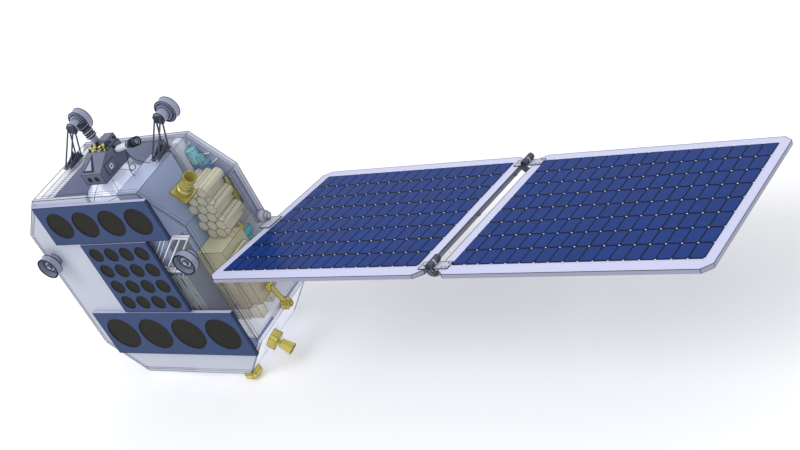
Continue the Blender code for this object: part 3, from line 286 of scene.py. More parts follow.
# Shared finishes: colour or the setting that holds it, roughness, metallic and satin's other options
FINISHES = {
    "dark metal": ("dark", 0.5, 0.3, {}),
    "line": ((0.022, 0.023, 0.038), 0.7, 0.0, {"shine": 0.05}),
    "pale panel": ("pale", 0.5, 0.0, {"mottle": 0.04}),
    "white frame": ((0.8, 0.82, 0.9), 0.45, 0.0, {"mottle": 0.03}),
    # the lighter top colour of lavender metal is painted light on upward faces
    "lavender metal": ("lavender", 0.35, 0.1, {"mottle": 0.04, "top": (0.44, 0.5, 0.72)}),
    "cup metal": ("cup", 0.3, 0.2, {"mottle": 0.04}),
    "gold": ("gold", 0.3, 0.25, {"coat": 0.3}),
    "array blue": ("array", 0.55, 0.0, {"mottle": 0.05, "shine": 0.15}),
    "tan": ("tan", 0.5, 0.0, {"mottle": 0.05}),
    "cell bed": ((0.005, 0.008, 0.022), 0.5, 0.0, {"shine": 0.05}),
    "mast": ((0.06, 0.066, 0.105), 0.45, 0.2, {}),
    # the glow of floor white is painted light that brightens the shaded bottom skins
    "floor white": ((0.8, 0.82, 0.92), 0.5, 0.0, {"mottle": 0.02, "glow": 0.22}),
    # the tank's glow is painted light that brightens it where the head unit shades it
    "tank": ((0.72, 0.77, 0.96), 0.2, 0.0, {"mottle": 0.01, "bump": 0.0, "coat": 1.0, "shine": 1.0, "glow": 0.24}),
    # the near-white top colour of wall is painted light on its upward faces
    "wall": ((0.25, 0.275, 0.39), 0.5, 0.0, {"top": (0.82, 0.84, 0.92)}),
    "head box": ((0.155, 0.17, 0.25), 0.45, 0.1, {}),
    "rear slate": ((0.27, 0.3, 0.4), 0.5, 0.0, {}),
    "horn": ((0.5, 0.43, 0.1), 0.3, 0.3, {"mottle": 0.08, "coat": 0.3}),
    "deck": ((0.3, 0.34, 0.44), 0.5, 0.0, {}),
    # the lighter top colours of box tan and box olive are painted light on upward faces
    "box tan": ((0.5, 0.44, 0.32), 0.5, 0.0, {"mottle": 0.05, "top": (0.58, 0.54, 0.36)}),
    "box olive": ((0.4, 0.38, 0.25), 0.5, 0.0, {"mottle": 0.05, "top": (0.62, 0.58, 0.38)}),
    "rail": ((0.3, 0.33, 0.44), 0.5, 0.0, {}),
    "thin line": ((0.1, 0.11, 0.15), 0.7, 0.0, {"shine": 0.05}),
    "cell dots": ((0.78, 0.84, 0.98), 0.5, 0.0, {}),
    "disc rim": ((0.02, 0.026, 0.06), 0.5, 0.0, {}),
    "array strip": ((0.48, 0.5, 0.7), 0.5, 0.0, {}),
    "back sheet": ((0.33, 0.38, 0.52), 0.5, 0.0, {"mottle": 0.03}),
    # the ledge's glow is painted light
    "ledge": ((0.4, 0.46, 0.68), 0.5, 0.0, {"glow": 0.12}),
    "wall plate": ((0.175, 0.195, 0.245), 0.6, 0.0, {"mottle": 0.01, "bump": 0.0, "shine": 0.05}),
    "tick": ((0.09, 0.1, 0.14), 0.6, 0.0, {}),
    # the rail sheet's glow is painted light that evens out the shadow of the arrays
    "rail sheet": ((0.15, 0.18, 0.188), 0.55, 0.0, {"mottle": 0.05, "bump": 0.0, "glow": 0.35}),
    "slot": ((0.06, 0.07, 0.075), 0.6, 0.0, {"shine": 0.1}),
    "tube line": ((0.1, 0.11, 0.1), 0.6, 0.0, {}),
    "spring metal": ((0.085, 0.092, 0.13), 0.35, 0.5, {}),
    "edge tube": ((0.12, 0.125, 0.17), 0.4, 0.3, {}),
    "pocket": ((0.03, 0.034, 0.055), 0.6, 0.0, {"shine": 0.1}),
    "pocket floor": ((0.34, 0.38, 0.5), 0.5, 0.0, {}),
}

# The shared finish of each slot, and of each node that differs from its slot
WORN_BY = {
    "pale_panel": "pale panel", "lavender_metal": "lavender metal", "array_blue": "array blue", "tube_tan": "tan",
    "gold_metal": "gold", "solar_cell": "cell bed",
    "barrel_left": "cup metal", "tank": "tank", "wall_left": "wall", "head_box": "head box",
    "rear_block": "rear slate", "horn": "horn", "tank_deck": "deck", "louvre_frame": "white frame",
    "avionics_lower": "box tan", "avionics_upper": "box olive", "skin_bottom": "floor white",
    "skin_bottom_right": "floor white", "back_post": "white frame", "mast_left": "mast", "mast_right": "mast",
    "corner_rail": "rail", **{cup: "cup metal" for cup in CUPS},
}
BAND = (0.03, 0.032, 0.05)
ZONES = {
    # node: finish, axis, glow and the colours at their places along the node's box
    # the tray's glow is painted light for the enclosed, shaded bay
    "equipment_tray": ("units", 2, 0.18, (
        (0.0, (0.78, 0.8, 0.9)), (0.16, (0.78, 0.8, 0.9)), (0.2, (0.5, 0.48, 0.39)),
        (1.0, (0.62, 0.6, 0.52)))),
    "barrel_right": ("barrel", 0, 0.0, (
        (0.0, (0.74, 0.77, 0.86)), (0.6, (0.74, 0.77, 0.86)), (0.62, BAND), (0.68, BAND),
        (0.7, (0.6, 0.63, 0.74)), (0.76, (0.6, 0.63, 0.74)), (0.78, BAND), (0.84, BAND),
        (0.86, (0.34, 0.37, 0.48)))),
    "service_units": ("service colours", 2, 0.0, (
        (0.0, (0.12, 0.25, 0.48)), (0.42, (0.12, 0.25, 0.48)), (0.46, (0.2, 0.5, 0.58)),
        (1.0, (0.26, 0.58, 0.64)))),
    "fill_unit": ("fill colours", 2, 0.0, (
        (0.0, (0.06, 0.42, 0.14)), (0.4, (0.07, 0.45, 0.16)), (0.44, (0.03, 0.2, 0.48)),
        (0.78, (0.04, 0.42, 0.45)), (0.82, (0.68, 0.46, 0.08)), (1.0, (0.72, 0.5, 0.1)))),
}


def finish(name):
    """A shared finish, made once and found again by name."""
    colour, roughness, metallic, options = FINISHES[name]
    if isinstance(colour, str):
        colour = tuple(getattr(colours(), colour))
    return bpy.data.materials.get(name) or satin(name, colour, roughness, metallic, **options)


# Mesh building
def as_mesh(name, bm):
    mesh = bpy.data.meshes.new(name)
    bm.to_mesh(mesh)
    bm.free()
    return mesh


def link(item):
    bpy.context.scene.collection.objects.link(item)


def place(name, mesh, material, body):
    mesh.name = name
    mesh.materials.append(material)
    piece = bpy.data.objects.new(name, mesh)
    link(piece)
    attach(piece, body)
    return piece


def finish_piece(name, bm, paint, body="bus"):
    """A piece made of a mesh, in one of the shared finishes."""
    bmesh.ops.remove_doubles(bm, verts=bm.verts, dist=WELD)
    bmesh.ops.recalc_face_normals(bm, faces=bm.faces)
    return place(name, as_mesh(name, bm), finish(paint), body)


def aimed(centre, direction):
    """A place whose own Z runs along a direction."""
    return Matrix.Translation(Vector(centre)) @ Vector(direction).to_track_quat("Z", "Y").to_matrix().to_4x4()


def add_block(bm, low, high, turn=Matrix()):
    size = Vector(high) - Vector(low)
    centre = (Vector(high) + Vector(low)) / 2
    bmesh.ops.create_cube(bm, size=1.0, matrix=turn @ Matrix.Translation(centre) @ Matrix.Diagonal((*size, 1.0)))


def block_piece(name, low, high, paint):
    bm = bmesh.new()
    add_block(bm, low, high)
    finish_piece(name, bm, paint)


def add_plate(bm, corners, shift):
    """A flat outline made solid by a shift."""
    face = bm.faces.new([bm.verts.new(corner) for corner in corners])
    thick = bmesh.ops.extrude_face_region(bm, geom=[face])
    bmesh.ops.translate(bm, vec=shift, verts=[item for item in thick["geom"] if isinstance(item, bmesh.types.BMVert)])


def add_rod(bm, first, second, radius, sides=10, end_radius=None, turn=Matrix()):
    first, second = Vector(first), Vector(second)
    bmesh.ops.create_cone(bm, cap_ends=True, segments=sides, radius1=radius, radius2=end_radius or radius,
                          depth=(second - first).length, matrix=turn @ aimed((first + second) / 2, second - first))


def circle_points(centre, direction, radius, count, height=0.0):
    matrix = aimed(centre, direction)
    return [matrix @ Vector((radius * math.cos(2 * math.pi * k / count), radius * math.sin(2 * math.pi * k / count),
                             height)) for k in range(count)]


def turned_ring(bm, centre, direction, profile, sides):
    """A closed profile of (radius, height) points turned about a direction."""
    loops = [[bm.verts.new(point) for point in circle_points(centre, direction, radius, sides, height)]
             for radius, height in profile]
    for first, second in zip(loops, loops[1:] + loops[:1]):
        for k in range(sides):
            bm.faces.new((first[k], first[(k + 1) % sides], second[(k + 1) % sides], second[k]))


def square_ring(bm, centre, direction, inner, outer, low, high, sides):
    turned_ring(bm, centre, direction, [(inner, low), (outer, low), (outer, high), (inner, high)], sides)


# Geometry Nodes trees
def new_tree(name, numbers):
    """A tree with a mesh input and number inputs: the inputs, and the numbers' identifiers."""
    tree = bpy.data.node_groups.new(name, "GeometryNodeTree")
    tree.interface.new_socket("Geometry", in_out="INPUT", socket_type="NodeSocketGeometry")
    names = {}
    for label, value in numbers.items():
        kind = "NodeSocketInt" if isinstance(value, int) else "NodeSocketFloat"
        socket = tree.interface.new_socket(label, in_out="INPUT", socket_type=kind)
        socket.default_value = value
        names[label] = socket.identifier
    tree.interface.new_socket("Geometry", in_out="OUTPUT", socket_type="NodeSocketGeometry")
    given = tree.nodes.new("NodeGroupInput")
    return {label: Shade(tree, given.outputs[label]) for label in ("Geometry", *numbers)}, names


def end_tree(made, material):
    """The end of each tree: instances made real, then the material."""
    real = made.node("GeometryNodeRealizeInstances", None, {0: made})
    paint = made.node("GeometryNodeSetMaterial", None, {0: real, "Material": material})
    made.tree.links.new(paint.socket, made.tree.nodes.new("NodeGroupOutput").inputs[0])


def grown(name, bm, build, values, material, body):
    """Runs a new tree on a source mesh once and keeps the plain mesh."""
    made, names = build(material)
    source = as_mesh(name + "_source", bm)
    carrier = bpy.data.objects.new(name + "_source", source)
    link(carrier)
    modifier = carrier.modifiers.new("grow", "NODES")
    modifier.node_group = made.tree
    for label, value in values.items():
        modifier[names[label]] = value
    graph = bpy.context.evaluated_depsgraph_get()
    mesh = bpy.data.meshes.new_from_object(carrier.evaluated_get(graph))
    carrier.modifiers.clear()
    bpy.data.objects.remove(carrier, do_unlink=True)
    bpy.data.meshes.remove(source)
    mesh.materials.clear()
    return place(name, mesh, material, body)


def seam_tree(material):
    """Turns a wire mesh into thin round cords along its edges."""
    given, names = new_tree("seams", {"Radius": 0.001, "Sides": 6})
    wire = given["Geometry"]
    curve = wire.node("GeometryNodeMeshToCurve", None, {0: wire})
    circle = wire.node("GeometryNodeCurvePrimitiveCircle", None,
                       {"Resolution": given["Sides"], "Radius": given["Radius"]})
    sweep = wire.node("GeometryNodeCurveToMesh", None, {"Curve": curve, "Profile Curve": circle, "Fill Caps": True})
    end_tree(sweep, material)
    return sweep, names


def seams(name, paths, radius, paint, sides=4, body="bus"):
    """Thin cords along open or closed paths of points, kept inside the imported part's box."""
    bm = bmesh.new()
    for points, closed in paths:
        verts = [bm.verts.new([min(max(point[k], CAD_LOW[k] + radius), CAD_HIGH[k] - radius) for k in range(3)])
                 for point in points]
        for first, second in zip(verts, verts[1:]):
            bm.edges.new((first, second))
        if closed:
            bm.edges.new((verts[-1], verts[0]))
    return grown(name, bm, seam_tree, {"Radius": radius, "Sides": sides}, finish(paint), body)


def stud_tree(material):
    """Puts a small flat stud on the middle of each small face, turned along the face's normal."""
    given, names = new_tree("studs", {"Radius": 0.002, "Height": INSERT_HEIGHT, "Sides": 6})
    faces = given["Geometry"]
    keep = faces.tree.nodes.new("GeometryNodeCaptureAttribute")
    keep.domain = "FACE"
    keep.capture_items.new("VECTOR", "Facing")
    faces.tree.links.new(faces.socket, keep.inputs[0])
    faces.tree.links.new(faces.node("GeometryNodeInputNormal").socket, keep.inputs[1])
    kept, facing = (Shade(faces.tree, keep.outputs[k]) for k in (0, 1))
    points = faces.node("GeometryNodeMeshToPoints", {"mode": "FACES"}, {0: kept})
    stud = faces.node("GeometryNodeMeshCylinder", None,
                      {"Radius": given["Radius"], "Depth": given["Height"], "Vertices": given["Sides"]})
    turn = faces.node("FunctionNodeAlignEulerToVector", {"axis": "Z"}, {"Vector": facing})
    spread = faces.node("GeometryNodeInstanceOnPoints", None, {"Points": points, "Instance": stud, "Rotation": turn})
    end_tree(spread, material)
    return spread, names


def cell_tree(material):
    """Lays a grid of copies of a small mesh on a flat field."""
    given, names = new_tree("cells", {"Columns": CELL_COLUMNS, "Rows": CELL_ROWS, "Pitch X": 0.0405,
                                      "Pitch Y": 0.0738})
    cell = given["Geometry"]
    grid = cell.node("GeometryNodeMeshGrid", None, {
        "Vertices X": given["Columns"], "Vertices Y": given["Rows"],
        "Size X": (given["Columns"] - 1.0) * given["Pitch X"],
        "Size Y": (given["Rows"] - 1.0) * given["Pitch Y"]})
    spread = cell.node("GeometryNodeInstanceOnPoints", None, {"Points": grid, "Instance": cell})
    end_tree(spread, material)
    return spread, names



def body_outline(inset, y):
    """The eight corners of the body at a depth, moved in by an inset."""
    slope = math.atan2(CHAMFER_Z, CHAMFER_X)
    top = TOP_HALF - inset * math.tan(slope / 2)
    side = BODY_X - inset
    low = BODY_LOW_Z + inset
    high = BODY_HIGH_Z - inset
    rise = CHAMFER_Z + inset * math.tan((math.pi / 2 - slope) / 2)
    return [Vector(point) for point in (
        (-top, y, low), (top, y, low), (side, y, BODY_LOW_Z + rise), (side, y, BODY_HIGH_Z - rise),
        (top, y, high), (-top, y, high), (-side, y, BODY_HIGH_Z - rise), (-side, y, BODY_LOW_Z + rise))]


# What a user would change
def length(name, description, default):
    return bpy.props.FloatProperty(name=name, description=description, default=default, unit="LENGTH")


def tint(name, description, default):
    return bpy.props.FloatVectorProperty(name=name, description=description, default=default, subtype="COLOR",
                                         min=0, max=1)


class SatelliteSizes(bpy.types.PropertyGroup):
    seam_radius: length("Seam radius", "Half width of the panel seams", 0.001)
    fine_seam: length("Fine seam radius", "Half width of the fine lines inside", 0.0007)
    stud_radius: length("Stud radius", "Radius of the inserts along panel edges", 0.002)
    cell_gap: length("Cell gap", "Gap between neighbouring solar cells in a row", 0.0042)
    row_gap: length("Row gap", "Gap between rows of solar cells", 0.0074)
    cell_corner: length("Cell corner", "Size of each cell's cropped corner", 0.0048)
    cell_dot: length("Cell dot", "Half width of the white dots between cells", 0.0028)


class SatelliteColours(bpy.types.PropertyGroup):
    skin: tint("Clear skin", "Tint of the clear panels", (0.72, 0.74, 0.88))
    skin_alpha: bpy.props.FloatProperty(name="Skin density", description="How dense the clear panels are",
                                        default=0.025, min=0, max=1)
    pale: tint("Pale panel", "Pale metal panels and fittings", (0.53, 0.555, 0.655))
    lavender: tint("Lavender metal", "Central box", (0.33, 0.41, 0.62))
    cup: tint("Cup metal", "Cup antennas and left barrel", (0.31, 0.34, 0.46))
    dark: tint("Dark metal", "Hinge caps, guard wires and small fittings", (0.025, 0.027, 0.045))
    array: tint("Array blue", "Antenna array face plates", (0.036, 0.064, 0.165))
    disc: tint("Disc", "Dark radiating discs", (0.013, 0.013, 0.011))
    tan: tint("Tan", "Tubes", (0.6, 0.57, 0.42))
    gold: tint("Gold", "Feed unit and thrusters", (0.66, 0.57, 0.12))
    cell: tint("Cell blue", "Solar cells", (0.004, 0.027, 0.155))
    frame: tint("Panel frame", "Edge of the solar panels", (0.6, 0.62, 0.84))


def sizes():
    return bpy.context.scene.satellite_sizes


def colours():
    return bpy.context.scene.satellite_colours


def wing_place():
    """The wing's own flat frame, tilted about the drive axis."""
    drive_low, drive_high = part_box("drive_housing")
    centre = (drive_low + drive_high) / 2
    return Matrix.Translation((0.0, centre.y, centre.z)) @ Matrix.Rotation(WING_TILT, 4, "X")


def wing_box(node, back):
    """A moving node's corners in the wing's flat frame."""
    points = [back @ v.co for v in frame["nodes"][node].data.vertices]
    return [Vector([end(p[k] for p in points) for k in range(3)]) for end in (min, max)]


def sharp_edges(nodes, shortest=0.003):
    """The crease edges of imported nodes, as two-point paths."""
    paths = []
    for node in nodes:
        bm = bmesh.new()
        bm.from_mesh(frame["nodes"][node].data)
        bmesh.ops.remove_doubles(bm, verts=bm.verts, dist=0.00001)
        for edge in bm.edges:
            if len(edge.link_faces) == 2 and edge.calc_face_angle() > CREASE and edge.calc_length() > shortest:
                paths.append(([vert.co.copy() for vert in edge.verts], False))
        bm.free()
    return paths


# Pieces
class DressPart(bpy.types.Operator):
    """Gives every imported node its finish"""
    bl_idname = "satellite.dress_part"
    bl_label = "Dress the part"

    def execute(self, context):
        look = colours()
        edge = tuple(look.frame)
        worn = {key: finish(name) for key, name in WORN_BY.items()}
        worn.update({node: zoned(name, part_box(node), stops, axis, glow)
                     for node, (name, axis, glow, stops) in ZONES.items()})
        worn.update({
            "clear_panel": clear_skin("clear skin", tuple(look.skin), look.skin_alpha),
            "skin_back": clear_skin("back skin", (0.66, 0.69, 0.82), 0.8),
            "array_disc": woven("array disc", tuple(look.disc), (0.024, 0.024, 0.018), 0.0012, 0.6),
            # painted shade: the frame's side faces take half its colour, its upward faces the full colour
            "panel_frame": satin("panel frame", tuple(c * 0.5 for c in edge), 0.45, 0.0, mottle=0.02, top=edge),
            "fittings": mixed("fittings", (0.02, 0.02, 0.024), (0.7, 0.62, 0.08), (0.42, 0.44, 0.5), 150.0),
        })
        for row in frame["record"]["subparts"]:
            node = frame["nodes"][row["node"]]
            node.data.materials.clear()
            node.data.materials.append(worn[row["node"] if row["node"] in worn else row["material_slot"]])
        return {"FINISHED"}


class AddCells(bpy.types.Operator):
    """Lays the solar cells and the white dots between them on both panels"""
    bl_idname = "satellite.add_cells"
    bl_label = "Add solar cells"

    def execute(self, context):
        size = sizes()
        turn = wing_place()
        deep = tuple(colours().cell)
        glass = cell_blue("solar cell", deep, tuple(min(1.0, channel * 1.5) for channel in deep))
        for node, body in (("inner_cells", "inner_wing"), ("outer_cells", "outer_wing")):
            low, high = wing_box(node, turn.inverted())
            centre = (low + high) / 2
            pitch_x = (high.x - low.x) / CELL_COLUMNS
            pitch_y = (high.y - low.y) / CELL_ROWS
            half_x = (pitch_x - size.cell_gap) / 2
            half_y = (pitch_y - size.row_gap) / 2
            cut_x, cut_y = half_x - size.cell_corner, half_y - size.cell_corner
            outline = [(-cut_x, -half_y), (cut_x, -half_y), (half_x, -cut_y), (half_x, cut_y),
                       (cut_x, half_y), (-cut_x, half_y), (-half_x, cut_y), (-half_x, -cut_y)]
            cell = bmesh.new()
            add_plate(cell, [(x, y, 0.0) for x, y in outline], (0, 0, CELL_THICKNESS))
            bmesh.ops.recalc_face_normals(cell, faces=cell.faces)
            dot = bmesh.new()
            dot.faces.new([dot.verts.new((x * size.cell_dot, y * size.cell_dot, 0.0))
                           for x, y in ((1, 0), (0, 1), (-1, 0), (0, -1))])
            for label, bm, more, rise, material, slot in (
                    ("_field", cell, 0, 0.0, glass, "solar_cell"),
                    ("_dots", dot, 1, 0.0002, finish("cell dots"), "panel_frame")):
                values = {"Columns": CELL_COLUMNS + more, "Rows": CELL_ROWS + more, "Pitch X": pitch_x,
                          "Pitch Y": pitch_y}
                piece = grown(node + label, bm, cell_tree, values, material, body)
                piece.data.transform(turn @ Matrix.Translation((centre.x, centre.y, high.z + rise)))
        return {"FINISHED"}


class AddSeams(bpy.types.Operator):
    """Draws the seams of the clear skins and the edges of the nodes"""
    bl_idname = "satellite.add_seams"
    bl_label = "Add seams"

    def execute(self, context):
        size = sizes()
        front, back = body_outline(0.0, FRONT_Y), body_outline(0.0, BACK_Y)
        front_deep, back_deep = body_outline(SKIN, FRONT_Y + SKIN), body_outline(SKIN, BACK_Y - SKIN)
        paths = [(front, True), (back, True)] + [([front[k], back[k]], False) for k in (0, 1, 5, 6, 7)]
        seams("skin_seams", paths, size.seam_radius, "line", 6)

        paths = [(loop, True) for loop in (body_outline(0.0, FRONT_Y + SKIN), body_outline(0.0, BACK_Y - SKIN),
                                           front_deep, back_deep)]
        paths += [([front[k], back[k]], False) for k in (2, 3, 4)]
        paths += [([front_deep[k], back_deep[k]], False) for k in (1, 2, 5, 6)]
        rim = body_outline(SKIN, FRONT_Y - 0.0003)
        paths.append(([rim[k] for k in (0, 7, 6, 5)], False))
        for rise in (0.01, 0.0165):
            reach = TOP_HALF + rise * LEAN - 0.003
            paths.append(([(side * reach, FRONT_Y - 0.0005, BODY_LOW_Z + rise) for side in (-1, 1)], False))
        seams("thin_seams", paths, size.fine_seam, "thin line")

        paths = sharp_edges((
            "centre_box", "wall_left", "avionics_upper", "avionics_lower", "rear_block", "equipment_tray",
            "louvre_frame", "corner_rail", "head_box", "fill_unit", "service_units", "lower_array_face",
            "middle_array_face", "upper_array_face", "thruster_chamfer", "thruster_side", "thruster_corner",
            "horn", "feed_unit", "drive_housing", "equipment_left", "tank"))
        seams("inner_seams", paths, size.fine_seam, "line")
        paths = sharp_edges((*CUPS, "barrel_left", "barrel_right"), 0.001)
        seams("bold_seams", paths, size.seam_radius * 1.5, "line")
        for body, nodes in (
                ("inner_wing", ("inner_panel", "yoke", "hinge_front_inner_leaf", "hinge_back_inner_leaf")),
                ("outer_wing", ("outer_panel", "hinge_front_outer_leaf", "hinge_back_outer_leaf"))):
            seams(body + "_seams", sharp_edges(nodes), size.seam_radius, "line", body=body)
        return {"FINISHED"}


class AddInserts(bpy.types.Operator):
    """Sets rows of inserts along the panel edges"""
    bl_idname = "satellite.add_inserts"
    bl_label = "Add inserts"

    def execute(self, context):
        radius = sizes().stud_radius
        edges = ((6, 7, 46), (7, 0, 18), (5, 6, 18), (3, 4, 18), (2, 3, 46), (1, 2, 18))
        rows = []
        for y, normal, sides in ((FRONT_Y, (0, -1, 0), edges), (BACK_Y, (0, 1, 0), (*edges, (4, 5, 44), (0, 1, 44)))):
            outline = body_outline(SKIN * 0.55, y)
            for first, last, count in sides:
                first, last = outline[first], outline[last]
                rows.append((first.lerp(last, 0.03), first.lerp(last, 0.97), count, normal))
        for y in (FRONT_Y + SKIN * 1.9, BACK_Y - SKIN * 1.9):
            first, last = (Vector((side * (TOP_HALF - 0.015), y, BODY_HIGH_Z)) for side in (-1, 1))
            rows.append((first, last, 40, (0, 0, 1)))
        bm = bmesh.new()
        for first, last, count, normal in rows:
            for k in range(count):
                # a tiny triangle stands for each insert
                matrix = aimed(first.lerp(last, k / (count - 1)), normal)
                bm.faces.new([bm.verts.new(matrix @ (Vector((math.cos(a), math.sin(a), 0)) * (radius * 0.01)))
                              for a in (0.0, 2.1, 4.2)])
        values = {"Radius": radius, "Height": INSERT_HEIGHT, "Sides": 6}
        grown("panel_inserts", bm, stud_tree, values, finish("line"), "bus")
        return {"FINISHED"}


class AddArrayTrim(bpy.types.Operator):
    """Adds the disc rims and the pale top strips of the arrays"""
    bl_idname = "satellite.add_array_trim"
    bl_label = "Add array trim"

    def execute(self, context):
        rims, strips = bmesh.new(), bmesh.new()
        for node, radius, rows, pitch in ARRAYS:
            low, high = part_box(node + "_face")
            centre = (low + high) / 2
            profile = [(radius - 0.0012, -0.002), (radius + 0.0012, -0.0004), (radius + 0.0012, 0.0003),
                       (radius - 0.001, 0.0003)]
            for row in range(rows):
                for column in range(4):
                    point = (centre.x + (column - 1.5) * pitch, low.y, centre.z + ((rows - 1) / 2 - row) * pitch)
                    turned_ring(rims, point, (0, -1, 0), profile, 48)
            add_block(strips, (low.x + 0.0004, low.y + 0.0006, high.z - 0.0002),
                      (high.x - 0.0004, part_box(node + "_discs")[1].y, high.z + 0.0006))
        finish_piece("disc_rims", rims, "disc rim")
        finish_piece("array_strips", strips, "array strip")
        return {"FINISHED"}



class AddInside(bpy.types.Operator):
    """Adds the trim seen through the clear skins: sheets, ledge, slats, rods, slots, seams and tube rims"""
    bl_idname = "satellite.add_inside"
    bl_label = "Add inside trim"

    def execute(self, context):
        add_sheets()
        add_wall_trim()
        add_rail_trim()
        add_tank_seams()
        add_tube_trim()
        return {"FINISHED"}


def add_sheets():
    """Sheets behind and in front of the bay, the ledge over the central box, the slats and the white rods."""
    avionics_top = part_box("avionics_upper")[1].z
    sheet = bmesh.new()
    inner = body_outline(SKIN + 0.0008, BACK_Y - SKIN - 0.003)
    left, head = BOX_HIGH.x + 0.001, avionics_top + 0.04
    side = inner[3].x
    corners = [(left, inner[4].z), (inner[4].x, inner[4].z), (side, inner[3].z), (side, head), (left, head)]
    add_plate(sheet, [(x, inner[0].y, z) for x, z in corners], (0, 0.001, 0))
    finish_piece("back_sheet", sheet, "back sheet")

    strip = bmesh.new()
    left = PANEL_SPLIT - 0.016
    foot, head = BODY_LOW_Z + 0.0012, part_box("lower_array_face")[0].z + 0.004
    right = [(TOP_HALF + (z - BODY_LOW_Z) * LEAN - 0.002, z) for z in (foot, head)]
    corners = [(left, foot), *right, (left, head)]
    add_plate(strip, [(x, FRONT_Y - 0.0006, z) for x, z in corners], (0, 0.0005, 0))
    finish_piece("lower_strip", strip, "pale panel")

    block_piece("box_ledge", (BOX_LOW.x + 0.0004, BOX_LOW.y + 0.006, BOX_HIGH.z - 0.032),
                (BOX_HIGH.x - 0.0004, BOX_LOW.y + 0.0068, BOX_HIGH.z - 0.0002), "ledge")

    slats = bmesh.new()
    plane = FRONT_Y + SKIN + 0.0009
    for foot, head in (((0.098, 0.49), (0.205, 0.594)), ((0.108, 0.48), (0.222, 0.595))):
        ends = [(x, plane + 0.0012, z) for x, z in (foot, head)]
        add_rod(slats, *ends, 0.0016, 8)
    add_block(slats, (0.12, plane, 0.452), (0.196, plane + 0.0012, 0.459))
    finish_piece("slats", slats, "white frame")

    rods = bmesh.new()
    for first, last, radius in (
            # seen through the upper right skins
            ((0.328, 0.13, 0.523), (0.296, 0.12, 0.486), 0.0024),
            ((0.2244, 0.1325, 0.6897), (0.2776, 0.1325, 0.6948), 0.002),
            ((0.2481, 0.1325, 0.6485), (0.296, 0.1325, 0.6715), 0.002),
            ((0.21, 0.1325, 0.73), (0.228, 0.1325, 0.742), 0.0016)):
        add_rod(rods, first, last, radius)
    finish_piece("bay_rods", rods, "white frame")


def add_wall_trim():
    """The plate on the central box, the shelf by the left wall and the ticks and dashes along both."""
    avionics_low, avionics_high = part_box("avionics_upper")
    wall_low, wall_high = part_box("wall_left")
    block_piece("wall_plate", (BOX_HIGH.x + 0.0004, BOX_LOW.y, BOX_LOW.z + 0.001),
                (BOX_HIGH.x + 0.0014, avionics_low.y - 0.001, avionics_high.z + 0.09), "wall plate")
    shelf_top = BODY_HIGH_Z - SKIN - 0.001
    block_piece("side_shelf", (-TOP_HALF + 0.004, FRONT_Y + SKIN + 0.004, shelf_top - 0.003),
                (wall_low.x - 0.001, BACK_Y - SKIN - 0.004, shelf_top), "white frame")

    inserts = bmesh.new()
    ticks = 30
    wall_width = wall_high.x - wall_low.x
    dash_x = -TOP_HALF + 0.03
    for k in range(ticks):
        y = wall_low.y + 0.008 + (wall_high.y - wall_low.y - 0.016) * k / (ticks - 1)
        for first, last in ((0.08, 0.4), (0.62, 0.92)):
            add_block(inserts, (wall_low.x + wall_width * first, y - 0.002, wall_high.z - 0.0002),
                      (wall_low.x + wall_width * last, y + 0.002, wall_high.z + 0.0003))
        add_block(inserts, (dash_x - 0.0008, y - 0.0035, shelf_top - 0.0002),
                  (dash_x + 0.0008, y + 0.0035, shelf_top + 0.0003))
    finish_piece("wall_inserts", inserts, "tick")


def add_rail_trim():
    """The slotted sheet on the central box's front."""
    width, height = BOX_HIGH.x - BOX_LOW.x, BOX_HIGH.z - BOX_LOW.z
    rail_low, rail_high = BOX_LOW.z + height * 0.24, BOX_LOW.z + height * 0.55
    rise = rail_high - rail_low
    block_piece("rail_sheet", (BOX_LOW.x + 0.01, BOX_LOW.y - 0.0014, rail_low),
                (BOX_HIGH.x - 0.001, BOX_LOW.y - 0.0004, rail_high), "rail sheet")

    slots = bmesh.new()
    for across, first, last, half in (
            # across, low end, high end and half width of each line or slot
            (0.26, 0.02, 0.98, 0.0005), (0.34, 0.02, 0.98, 0.0005), (0.44, 0.02, 0.98, 0.0004),
            (0.58, 0.02, 0.98, 0.0005), (0.66, 0.02, 0.98, 0.0005), (0.8, 0.02, 0.98, 0.0005),
            (0.9, 0.02, 0.98, 0.0005), (0.3, 0.74, 0.9, 0.0026), (0.3, 0.2, 0.42, 0.0022),
            (0.62, 0.8, 0.96, 0.003), (0.62, 0.26, 0.44, 0.0026), (0.84, 0.3, 0.36, 0.002),
            (0.84, 0.62, 0.66, 0.002), (0.5, 0.52, 0.6, 0.0016)):
        x = BOX_LOW.x + width * across
        add_block(slots, (x - half, BOX_LOW.y - 0.0022, rail_low + rise * first),
                  (x + half, BOX_LOW.y - 0.0012, rail_low + rise * last))
    finish_piece("rail_slots", slots, "slot")


def add_tank_seams():
    """Three upright seams round the tank and one level seam."""
    low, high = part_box("tank")
    centre = (low + high) / 2
    radius = (high.z - low.z) / 2 + 0.0002
    points = 48
    paths = []
    for angle in (20.0, 80.0, 140.0):
        side = Vector((math.cos(math.radians(angle)), math.sin(math.radians(angle)), 0.0))
        turns = [2 * math.pi * t / points for t in range(points)]
        paths.append(([centre + radius * (side * math.cos(t) + Vector((0, 0, math.sin(t)))) for t in turns], True))
    rise = 0.62
    paths.append((circle_points(centre + Vector((0, 0, radius * rise)), (0, 0, 1),
                                radius * math.sqrt(1 - rise * rise), points), True))
    seams("tank_seams", paths, sizes().fine_seam, "line")


